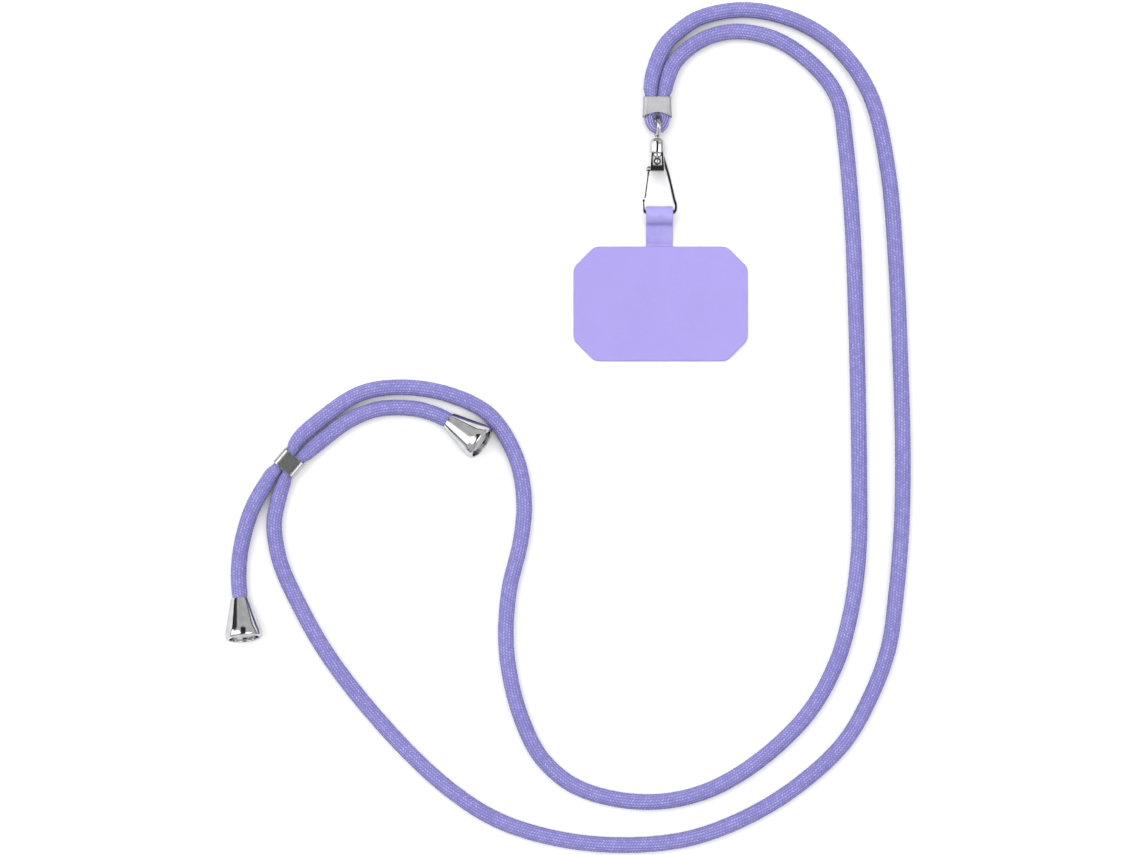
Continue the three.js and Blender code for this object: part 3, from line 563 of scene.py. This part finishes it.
def gripped(curve, heads):
    """The cord's half widths to the right and left and its half height along a curve, in mm.

    Each row of heads is a place, the half widths right, left and up there, how far the grip
    reaches, and over how long a stretch each of the three grows back to the free cord's."""
    sizes = np.full((3, len(curve)), CORD / 2)
    for place, held, reach, fades in heads:
        distance = np.linalg.norm(curve - place, axis=1)
        for k in range(3):
            free = step(distance, reach, reach + fades[k])
            sizes[k] = np.minimum(sizes[k], held[k] + (CORD / 2 - held[k]) * free)
    return sizes


lilac = braid_finish("lilac_braid")
for name, side, route, slide_way, end_route, cone, cone_name, seed in (
        ("outer", -1, OUTER_ROUTE, 1, OUTER_END_ROUTE, UPPER_CONE, "cone_end_upper", 3),
        ("inner", 1, INNER_ROUTE, -1, INNER_END_ROUTE, LOWER_CONE, "cone_end_lower", 8)):
    crimp_x = CRIMP_MIDDLE[0] + side * CRIMP_OFFSET
    in_slide = SLIDE_MIDDLE + slide_across * slide_way * SLIDE_OFFSET
    through = slide_along * slide_way * (SLIDE_LENGTH / 2 + SLIDE_CLEARANCE)
    curve = smooth_route([
        (crimp_x, CRIMP_MIDDLE[1] + CRIMP_INSIDE, CRIMP_MIDDLE[2]),
        (crimp_x, CRIMP_MIDDLE[1] + CRIMP_LENGTH / 2, CRIMP_MIDDLE[2]),
        *(np.array(route) * METRE), in_slide - through, in_slide + through,
        *(np.array(end_route) * METRE), cone["place"], cone["strand_end"],
    ])
    heads = [
        (np.array([crimp_x, CRIMP_MIDDLE[1], CRIMP_MIDDLE[2]]),
         (*CRIMP_HELD[::-side], CRIMP_HELD_UP), CRIMP_REACH,
         (*CRIMP_FADE[::-side], CRIMP_FADE_UP)),
        (in_slide, SLIDE_HELD, SLIDE_REACH, SLIDE_FADE),
        (cone["strand_end"], CONE_HELD, CONE_REACH, CONE_FADE),
    ]
    surface, centres = braid(curve, gripped(curve, heads), STITCH, seed)
    strand = piece(f"braided_{name}_strand", [surface], lilac)
    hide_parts(f"cord_{name}_strand")
    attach(strand, "strap")
    centres * MM


# Bight. The fold of the same cord below the crimp, squeezed together and puckered into folds
# round the swivel eye that hangs in it.
BIGHT_HALF_SPAN = 2.6
BIGHT_TOP = 35.4
BIGHT_DROP = 4.35
BIGHT_LEG = (38.35, 36.1)
BIGHT_HALF_SIZES = (1.62, 1.55, 2.0)
BIGHT_STITCH = 0.62
BIGHT_PLEAT = 0.3

middle_x, _, middle_z = CRIMP_MIDDLE
fold_turn = np.pi + np.pi * np.arange(9) / 8
bight_curve = smooth_route([
    *((middle_x - CRIMP_OFFSET, y, middle_z) for y in BIGHT_LEG),
    *((middle_x + BIGHT_HALF_SPAN * np.cos(a), BIGHT_TOP + BIGHT_DROP * np.sin(a), middle_z)
      for a in fold_turn),
    *((middle_x + CRIMP_OFFSET, y, middle_z) for y in BIGHT_LEG[::-1])])
bight_sizes = np.outer(BIGHT_HALF_SIZES, np.ones(len(bight_curve)))
bight_surface, _ = braid(bight_curve, bight_sizes, BIGHT_STITCH, 5, folds=BIGHT_PLEAT)
bight = piece("folded_bight", [bight_surface], braid_finish("lilac_fold", pleated=True))
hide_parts("cord_bight")
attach(bight, "strap")


# Crimp ferrule. A flat sleeve of bright satin sheet metal, pressed round both strands, with its
# foot cut in an arch whose sides flare over the fold.
CRIMP_WIDTH = 8.7
CRIMP_HEIGHT = 5.6
CRIMP_CORNER = 1.5
CRIMP_FOOT = 1.6
CRIMP_FLARE = 0.07
# Painted shade on the crimp's rounded sides: from 2.6 mm to 3.6 mm from its middle the colour
# falls to half, dimming their reflections.
CRIMP_PAINTED_SIDE_SHADE = (CRIMP_MIDDLE[0] * MM, 0.0026, 0.0036, 0.5)

crimp_metal = metal_finish("satin_crimp", (0.78, 0.78, 0.80, 1.0), roughness=0.40, spread=0.12,
                           grain=700.0, grain_depth=0.00003, painted_side_shade=CRIMP_PAINTED_SIDE_SHADE)
crimp = piece("crimp_sleeve", [skin(sleeve(
    CRIMP_WIDTH, CRIMP_HEIGHT, CRIMP_CORNER, CRIMP_LENGTH, CRIMP_MIDDLE, np.array([1.0, 0, 0]),
    np.array([0, 1.0, 0]), CRIMP_FOOT, CRIMP_FLARE), closed_rows=True)], crimp_metal)
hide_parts("crimp_ferrule")
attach(crimp, "strap")


# Swivel eye. A cast wire ring that the cord's fold hangs in, with a shank that turns in the
# hook's barrel and a ball, seen in the head's window, that keeps it there.
EYE = np.array([-1.1, 31.75, 3.7])
EYE_HALF_LENGTH = 2.7
EYE_HALF_HEIGHT = 3.05
EYE_WIRE = 0.65
EYE_LEAN = 0.16
SHANK = 0.6
BALL = 1.15
BALL_DROP = 10.75

ring_angle = np.linspace(0, 2 * np.pi, 72, endpoint=False)[:, None]
wire_angle = np.linspace(0, 2 * np.pi, 20, endpoint=False)[None, :]
ring_rise = (EYE_HALF_HEIGHT + EYE_WIRE * np.cos(wire_angle)) * np.sin(ring_angle)
ring = EYE + np.stack([
    EYE_WIRE * np.sin(wire_angle) + EYE_LEAN * ring_rise,
    (EYE_HALF_LENGTH + EYE_WIRE * np.cos(wire_angle)) * np.cos(ring_angle),
    ring_rise - EYE_LEAN * EYE_WIRE * np.sin(wire_angle)], axis=2)
ball_angle = np.linspace(0.08, np.pi - np.arcsin(SHANK / BALL), 22)
shank_profile = np.vstack([
    np.stack([BALL * np.sin(ball_angle), -BALL_DROP - BALL * np.cos(ball_angle)], axis=1),
    [(SHANK, -BALL_DROP + 1.3), (SHANK, -6.0), (SHANK, -3.9), (0.68, -3.5), (0.85, -3.05)]])
eye = piece("swivel_eye", [
    skin(ring, closed_rows=True),
    skin(turned(shank_profile, EYE, (0, 1, 0), (1, 0, 0), 40))], chrome)
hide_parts("hook_eye")
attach(eye, "strap")


# Hook frame. One zinc casting, polished and chromed: the barrel that holds the swivel's shank,
# the head with its window and two cheeks for the gate, the long arm, the bar and the nose.
HOOK = np.array([-1.1, 23.9, 3.7])
HEAD_LENGTH = 6.0
HEAD_DEPTH = 3.2
WINDOW_TOP = 1.4
WINDOW_FOOT = 4.2
WINDOW_HALF = 1.2
SHANK_BORE = 0.9
PIVOT = (-2.6, -5.4)
KNUCKLE_SLOT = 0.85
KNUCKLE_ROOM = 1.2
KNUCKLE_ROOM_FROM, KNUCKLE_ROOM_TO = -30, 71.5
CHEEK_EDGE = 0.15
HOOK_LENGTH = 18.8
WIRE_DEPTH = 2.6
WIRE_EDGE = 0.2
ARM_OUT = 5.75
NOSE_OUT = 4.2
NOSE_TOP = -15.2
OVERLAP = 0.2


def inset(outline, depths):
    """The outline once for each depth, moved inwards by it along its normals."""
    following, before = np.roll(outline, -1, axis=0), np.roll(outline, 1, axis=0)
    area = (outline[:, 0] * following[:, 1] - following[:, 0] * outline[:, 1]).sum()
    inwards = np.stack([before[:, 1] - following[:, 1], following[:, 0] - before[:, 0]], axis=1)
    inwards *= np.sign(area) / np.linalg.norm(inwards, axis=1, keepdims=True)
    return outline[None] + inwards[None] * np.array(depths)[:, None, None]


def raised(flat, heights, origin):
    """Flat rings set at those heights, as one skin with a flat face at each end."""
    z = np.broadcast_to(np.array(heights)[:, None, None], flat.shape[:2] + (1,))
    return skin(np.array(origin) + np.concatenate([flat, z], axis=2), caps="flat")


def quarter(rounding):
    """A quarter circle from face to side: inwards by r (1 - sin a), away by r (1 - cos a)."""
    angle = np.linspace(0, np.pi / 2, 4)
    return rounding * (1 - np.sin(angle)), rounding * (1 - np.cos(angle))


def plate(outline, low, high, rounding, origin):
    """An outline in x and y made a plate from z low to high, its edges a quarter circle."""
    inwards, away = quarter(rounding)
    return raised(inset(np.array(outline, float), [*inwards, *inwards[::-1]]),
                  [*(low + away), *(high - away[::-1])], origin)


def wire_outline(rows, steps):
    """Both edges of a bent wire: its middle line moved to either side by its half width."""
    line = smooth_route(rows, steps)
    way = np.gradient(line[:, :2], axis=0)
    side = np.stack([-way[:, 1], way[:, 0]], axis=1) / np.linalg.norm(way, axis=1, keepdims=True)
    left = line[:, :2] + side * line[:, 2:3]
    right = line[:, :2] - side * line[:, 2:3]
    return np.vstack([left, right[::-1]])


barrel_profile = rounded([
    (SHANK_BORE, -WINDOW_TOP, 0.05), (1.6, -WINDOW_TOP, 0.2), (1.62, -0.45, 0.25),
    (2.2, -0.3, 0.2), (2.3, 0.3, 0.4), (2.3, 2.7, 0.8), (1.95, 3.8, 0.5), (1.35, 4.2, 0.3),
    (SHANK_BORE, 4.2, 0.15)], 6)
barrel = turned(finer(barrel_profile, 0.4, closed=True), HOOK, (0, 1, 0), (1, 0, 0), 64)
right_side = [
    (WINDOW_HALF, -WINDOW_FOOT, 0.3), (WINDOW_HALF, -WINDOW_TOP, 0.06),
    (SHANK_BORE, -WINDOW_TOP + 0.1, 0.22), (SHANK_BORE, 0.1, 0.25),
    (1.9, 0.1, 0.35), (2.35, -HEAD_LENGTH, 0.5)]
left_side = [(-x, y, cut) for x, y, cut in right_side[::-1]]
head_outline = rounded([*right_side, *left_side], 6)
clearing = np.linspace(np.radians(KNUCKLE_ROOM_FROM), np.radians(KNUCKLE_ROOM_TO), 14)
knuckle_room = [(PIVOT[0] + KNUCKLE_ROOM * np.cos(a), PIVOT[1] + KNUCKLE_ROOM * np.sin(a), 0.03)
                for a in clearing]
middle_outline = rounded([*right_side, *knuckle_room, *left_side[1:]], 6)
arm_rows = [
    (1.4, -0.4, 0.55), (3.62, -7.9, 0.55), (5.3, -15.04, 0.55), (ARM_OUT, -16.6, 0.55),
    (5.43, -18.48, 0.6), (3.99, -HOOK_LENGTH, 0.65), (0, -HOOK_LENGTH, 0.65),
    (-2.66, -HOOK_LENGTH, 0.65), (-3.88, -18.48, 0.52), (-NOSE_OUT, -17.04, 0.4),
    (-NOSE_OUT, NOSE_TOP, 0.4)]
lug_profile = rounded([(0.5, KNUCKLE_SLOT, 0.05), (0.9, KNUCKLE_SLOT, 0.05),
                       (0.9, HEAD_DEPTH / 2, 0.2), (0.5, HEAD_DEPTH / 2, 0.08)])
hook_skins = [
    skin(barrel, closed_rows=True),
    plate(head_outline, KNUCKLE_SLOT, HEAD_DEPTH / 2, CHEEK_EDGE, HOOK),
    plate(head_outline, -HEAD_DEPTH / 2, -KNUCKLE_SLOT, CHEEK_EDGE, HOOK),
    plate(middle_outline, -KNUCKLE_SLOT - OVERLAP, KNUCKLE_SLOT + OVERLAP, 0.01, HOOK),
    plate(wire_outline(arm_rows, 10), -WIRE_DEPTH / 2, WIRE_DEPTH / 2, WIRE_EDGE, HOOK),
    skin(turned(rounded([(0.1, -1.3, 0.02), (0.55, -1.3, 0.25), (0.55, 1.3, 0.25),
                         (0.1, 1.3, 0.02)], 6, closed=False),
                HOOK + (-NOSE_OUT, NOSE_TOP, 0), (0, 0, 1), (1, 0, 0), 32)),
]
for way in (1, -1):
    hook_skins.append(skin(turned(lug_profile * (1, way), HOOK + (*PIVOT, 0), (0, 0, 1),
                                  (1, 0, 0), 40), closed_rows=True))
hook = piece("hook_casting", hook_skins, chrome)
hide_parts("hook_frame")
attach(hook, "hook")


# Gate and pin. The gate is a thin sprung leg that pivots between the head's cheeks on a steel
# pin and closes against the nose; a finger pushes it inwards.
GATE_ORIGIN = HOOK + (*PIVOT, 0)
LEG_HALF_WIDTH = 0.375
LEG_HALF_DEPTH = 0.9
KNUCKLE_HALF = 0.55

leg_outline, neck_outline = (
    wire_outline([(*place, LEG_HALF_WIDTH) for place in places], steps)
    for places, steps in (([(-0.214, -1.6), (-0.706, -5.275), (-1.2, -8.95)], 10),
                          ([(0, 0), (-0.134, -1.0), (-0.268, -2.0)], 6)))
knuckle_profile = rounded([(0.5, -KNUCKLE_HALF, 0.05), (0.9, -KNUCKLE_HALF, 0.12),
                           (0.9, KNUCKLE_HALF, 0.12), (0.5, KNUCKLE_HALF, 0.05)])
gate = piece("sprung_gate", [
    plate(leg_outline, -LEG_HALF_DEPTH, LEG_HALF_DEPTH, 0.18, GATE_ORIGIN),
    plate(neck_outline, -KNUCKLE_HALF, KNUCKLE_HALF, 0.1, GATE_ORIGIN),
    skin(turned(knuckle_profile, GATE_ORIGIN, (0, 0, 1), (1, 0, 0), 40), closed_rows=True),
], chrome)
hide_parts("hook_gate")
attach(gate, "gate")

pin_profile = rounded([(0.05, -1.78, 0.01), (0.3, -1.72, 0.12), (0.3, 1.72, 0.12),
                       (0.05, 1.78, 0.01)], 6, closed=False)
pin = piece("pivot_pin", [skin(turned(pin_profile, GATE_ORIGIN, (0, 0, 1), (1, 0, 0), 32))],
            chrome)
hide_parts("gate_pin")
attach(pin, "hook")


# Webbing tab. A strap of lilac webbing 8.3 mm wide, looped round the hook's bar, sewn to itself
# below it, and carried on under the pad, where its flat tail is bonded.
TAB_MIDDLE = -0.4
TAB_HALF = 4.15
TAB_EDGE = 0.15
SELVEDGE = 0.045
TAB_LOWEST = 0.02
SEAM = 1.65
TAB_PATH = [
    (-16.3, 0.3, 0.3), (-10.0, 0.3, 0.3), (-5.6, 0.32, 0.3), (-3.2, 0.52, 0.36),
    (-1.4, 0.80, 0.4), (0.3, 1.10, 0.4), (SEAM, 1.45, 0.4), (3.1, 1.72, 0.4),
    (4.65, 1.70, 0.4), (6.06, 2.29, 0.4), (6.65, 3.7, 0.4), (6.06, 5.11, 0.4),
    (4.65, 5.68, 0.4), (3.3, 5.34, 0.4), (2.25, 4.35, 0.4), (1.8, 2.85, 0.36),
    (1.2, 2.3, 0.36), (0.3, 2.07, 0.4), (-1.4, 1.62, 0.38), (-2.9, 1.16, 0.3),
    (-4.2, 0.72, 0.12),
]
STITCHES = 9
STITCH_HALF = 0.36
STITCH_THREAD = 0.13
STITCH_MARGIN = 0.75
STITCH_LINE = (SEAM - 0.55, 2.66)
WEAVE_GAP = (0.209, 0.18, 0.446, 1.0)
WEBBING_DEEP = (0.306, 0.278, 0.606, 1.0)
WEBBING_PALE = (0.361, 0.333, 0.650, 1.0)


def webbing_finish():
    """Lilac webbing: ribs along it crossed by picks, faint clouds of tone, and a little fluff."""
    finish = Paint(bpy.data.materials.new("lilac_webbing"), Roughness=0.8, Sheen_Weight=0.2,
                   Sheen_Roughness=0.4, Sheen_Tint=(0.85, 0.82, 1.0, 1.0),
                   Specular_IOR_Level=0.3)
    uv = finish.node("ShaderNodeUVMap", {"uv_map": "surface"}, {})
    u, v = finish.part(uv, 0), finish.part(uv, 1)
    ribs = 0.5 + 0.5 * u.maths("SINE", 17.0 * u)
    picks = 0.5 + 0.5 * v.maths("SINE", 21.0 * v + 3.1416 * u.maths("FLOOR", 2.706 * u))
    weave = finish.ease(ribs * picks, 0.0, 0.6)
    tone = finish.noise(finish.place(), 300.0, 3.0)
    colour = finish.mix(finish.ease(tone, 0.3, 0.7), WEBBING_DEEP, WEBBING_PALE)
    finish.colour(finish.mix(0.55 + 0.45 * weave, WEAVE_GAP, colour))
    finish.relief(0.8 * weave + 0.2 * finish.noise(finish.place(), 8000.0, 1.0), 0.00007)
    return finish.material


tab_curve = smooth_route(TAB_PATH, 10)
tab_reach = along(tab_curve[:, :2])
tab_way = np.gradient(tab_curve[:, :2], axis=0)
tab_way /= np.linalg.norm(tab_way, axis=1, keepdims=True)
tab_out = np.stack([-tab_way[:, 1], tab_way[:, 0]], axis=1)
edge = np.linspace(0, np.pi, 7)[1:-1]
band = np.linspace(-1, 1, 34)
section = np.vstack([
    np.stack([band, 1 + 0 * band], axis=1),
    np.stack([1 + SELVEDGE * np.sin(edge), np.cos(edge)], axis=1),
    np.stack([band[::-1], -1 + 0 * band], axis=1),
    np.stack([-1 - SELVEDGE * np.sin(edge), -np.cos(edge)], axis=1)])
tab_line = (tab_curve[:, None, :2]
            + tab_out[:, None] * tab_curve[:, None, 2:3] * section[None, :, 1:2])
tab_x = np.broadcast_to(TAB_MIDDLE + (TAB_HALF - TAB_EDGE) * section[None, :, 0:1],
                        tab_line.shape[:2] + (1,))
tab_grid = np.concatenate([tab_x, tab_line], axis=2)
tab_grid[..., 2] = np.maximum(tab_grid[..., 2], TAB_LOWEST)
around = np.concatenate([section[:, 0] * TAB_HALF, section[:1, 0] * TAB_HALF])
tab_uv = lambda a, b: (around[b] + 0 * a, tab_reach[np.minimum(a, len(tab_reach) - 1)] + 0.0 * b)
tab_skins = [skin(tab_grid, uv=tab_uv)]
stitch_angle = np.linspace(0.15, np.pi - 0.15, 9)
stitch = np.stack([STITCH_THREAD * np.sin(stitch_angle), -STITCH_HALF * np.cos(stitch_angle)],
                  axis=1)
for k in range(STITCHES):
    stitch_x = TAB_MIDDLE + (TAB_HALF - STITCH_MARGIN) * (2 * k / (STITCHES - 1) - 1)
    tab_skins.append(skin(turned(stitch, (stitch_x, *STITCH_LINE), (1, 0, 0), (0, 0, 1), 10)))
tab = piece("webbing_loop", tab_skins, webbing_finish())
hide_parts("webbing_tab")
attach(tab, "hook")


# Pad. A thin bonded sheet with chamfered corners and a fine matte grain, which lies between a
# phone and its case; the tab's tail lies in a shallow pocket under it.
PAD_HALF_WIDTH = 27.05
PAD_TOP = -5.3
PAD_LENGTH = 35.6
PAD_THICKNESS = 1.4
PAD_CHAMFER = 6.5
PAD_CORNER = 1.6
PAD_EDGE = 0.35
PAD_GRID = 1.0
POCKET_HALF = 4.45
POCKET_LIP = 0.6
POCKET_FOOT = -16.6
POCKET_DEPTH = 0.9
POCKET_ROOF = 0.01
PAD_PIT = (0.175, 0.14, 0.392, 1.0)
PAD_DEEP = (0.243, 0.208, 0.478, 1.0)
PAD_PALE = (0.256, 0.221, 0.498, 1.0)


def pad_finish():
    """Lilac coated cloth: a fine matte grain with darker pits, and very faint clouds of tone."""
    finish = Paint(bpy.data.materials.new("lilac_pad"), Sheen_Weight=0.15, Sheen_Roughness=0.5,
                   Sheen_Tint=(0.85, 0.82, 1.0, 1.0), Specular_IOR_Level=0.35)
    place = finish.place()
    grain = finish.noise(place, 5200.0, 2.0)
    tone = finish.noise(place, 70.0, 3.0)
    colour = finish.mix(finish.ease(tone, 0.1, 0.9), PAD_DEEP, PAD_PALE)
    finish.colour(finish.mix(0.8 + 0.2 * finish.ease(grain, 0.3, 0.6), PAD_PIT, colour))
    finish.feed(finish.shader.inputs["Roughness"], 0.62 + 0.25 * grain)
    finish.relief(grain, 0.00006)
    return finish.material


pocket_right = TAB_MIDDLE + POCKET_HALF
pocket_left = TAB_MIDDLE - POCKET_HALF
side, top, foot = PAD_HALF_WIDTH, PAD_TOP, PAD_TOP - PAD_LENGTH
pad_corners = [
    (-side + PAD_CHAMFER, top), (-side, top - PAD_CHAMFER), (-side, foot + PAD_CHAMFER),
    (-side + PAD_CHAMFER, foot), (side - PAD_CHAMFER, foot), (side, foot + PAD_CHAMFER),
    (side, top - PAD_CHAMFER), (side - PAD_CHAMFER, top)]
pad_edge = finer(rounded([
    (pocket_left - POCKET_LIP, top, 0.01), *((*place, PAD_CORNER) for place in pad_corners),
    (pocket_right + POCKET_LIP, top, 0.01)], 8), PAD_GRID)
pocket_edge = [(pocket_right, top), (pocket_right, POCKET_FOOT), (pocket_left, POCKET_FOOT),
               (pocket_left, top)]
roof_edge = [(x, top) for x in np.linspace(pocket_right, pocket_left, 4)]
inwards, away = quarter(PAD_EDGE)
pad_skin = raised(
    np.vstack([inset(np.vstack([pad_edge, pocket_edge]), [*inwards, 0.0]),
               inset(np.vstack([pad_edge, roof_edge]), [0.0, *inwards[::-1]])]),
    [*away, POCKET_DEPTH, POCKET_DEPTH + POCKET_ROOF, *(PAD_THICKNESS - away[::-1])], (0, 0, 0))
pad = piece("phone_patch", [pad_skin], pad_finish())
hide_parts("phone_pad")
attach(pad, "hook")


# Floor and light. A pale matte floor under a soft light from overhead. The chrome shows the sky:
# two bright boxes beside a dark beam, a white and a dark panel low down, and a dark horizon.
FLOOR_HALF = 4
SKY_LIGHT = 0.72
LOW_WHITE_LIGHT = 1.5
BOX_LIGHT = 1.9
LOW_DARK_DEPTH = 0.92
BEAM_DEPTH = 0.94
HORIZON_DEPTH = 0.96

floor_paint = Paint(bpy.data.materials.new("pale_floor"), Roughness=0.9,
                    Specular_IOR_Level=0.1, Base_Color=(0.75, 0.75, 0.75, 1.0))
floor_mesh = bpy.data.meshes.new("floor")
floor_mesh.from_pydata([(x, y, 0) for x, y in (
    (-FLOOR_HALF, -FLOOR_HALF), (FLOOR_HALF, -FLOOR_HALF), (FLOOR_HALF, FLOOR_HALF),
    (-FLOOR_HALF, FLOOR_HALF))], [], [(0, 1, 2, 3)])
floor_mesh.materials.append(floor_paint.material)
floor = bpy.data.objects.new("floor", floor_mesh)
bpy.context.collection.objects.link(floor)

studio = bpy.data.worlds.new("studio")
bpy.context.scene.world = studio
sky = Paint(studio)
toward = sky.node("ShaderNodeTexCoord", {}, {}, "Generated")
east, north, high = (sky.part(toward, axis) for axis in range(3))


def panel(azimuth, altitude, inner, outer):
    """A soft round panel: 1 within the inner angle of its middle, 0 beyond the outer one."""
    azimuth, altitude, inner, outer = np.radians([azimuth, altitude, inner, outer])
    facing = (east * (np.cos(azimuth) * np.cos(altitude))
              + north * (np.sin(azimuth) * np.cos(altitude)) + high * np.sin(altitude))
    return sky.ease(facing, np.cos(outer), np.cos(inner))


low_white = panel(azimuth=171, altitude=15, inner=17, outer=21)
low_dark = panel(azimuth=139, altitude=8, inner=13, outer=24)
west_box = panel(azimuth=165, altitude=52, inner=20, outer=25)
east_box = panel(azimuth=-15, altitude=52, inner=20, outer=25)
beam = (1 - sky.ease(abs(east), 0.22, 0.30)) * sky.ease(high + 0.2 * north, 0.72, 0.80)
horizon = 1 - sky.ease(abs(high), 0.05, 0.12)
light = SKY_LIGHT * (1 - LOW_DARK_DEPTH * low_dark) * (1 - BEAM_DEPTH * beam)
light = light + LOW_WHITE_LIGHT * low_white + BOX_LIGHT * west_box + BOX_LIGHT * east_box
light = light * (1 - HORIZON_DEPTH * horizon)
sky.feed(sky.shader.inputs["Color"], sky.node("ShaderNodeCombineXYZ", {}, [light, light, light]))

sun = bpy.data.lights.new("overhead_softbox", "SUN")
sun.energy = 2.9
sun.angle = 1.4
softbox = bpy.data.objects.new("overhead_softbox", sun)
softbox.location = (-0.2, 0.6, 1.2)
softbox.rotation_euler = (-0.38, -0.10, 0.0)
softbox.visible_glossy = False
bpy.context.collection.objects.link(softbox)

bpy.context.scene.view_settings.view_transform = "Standard"
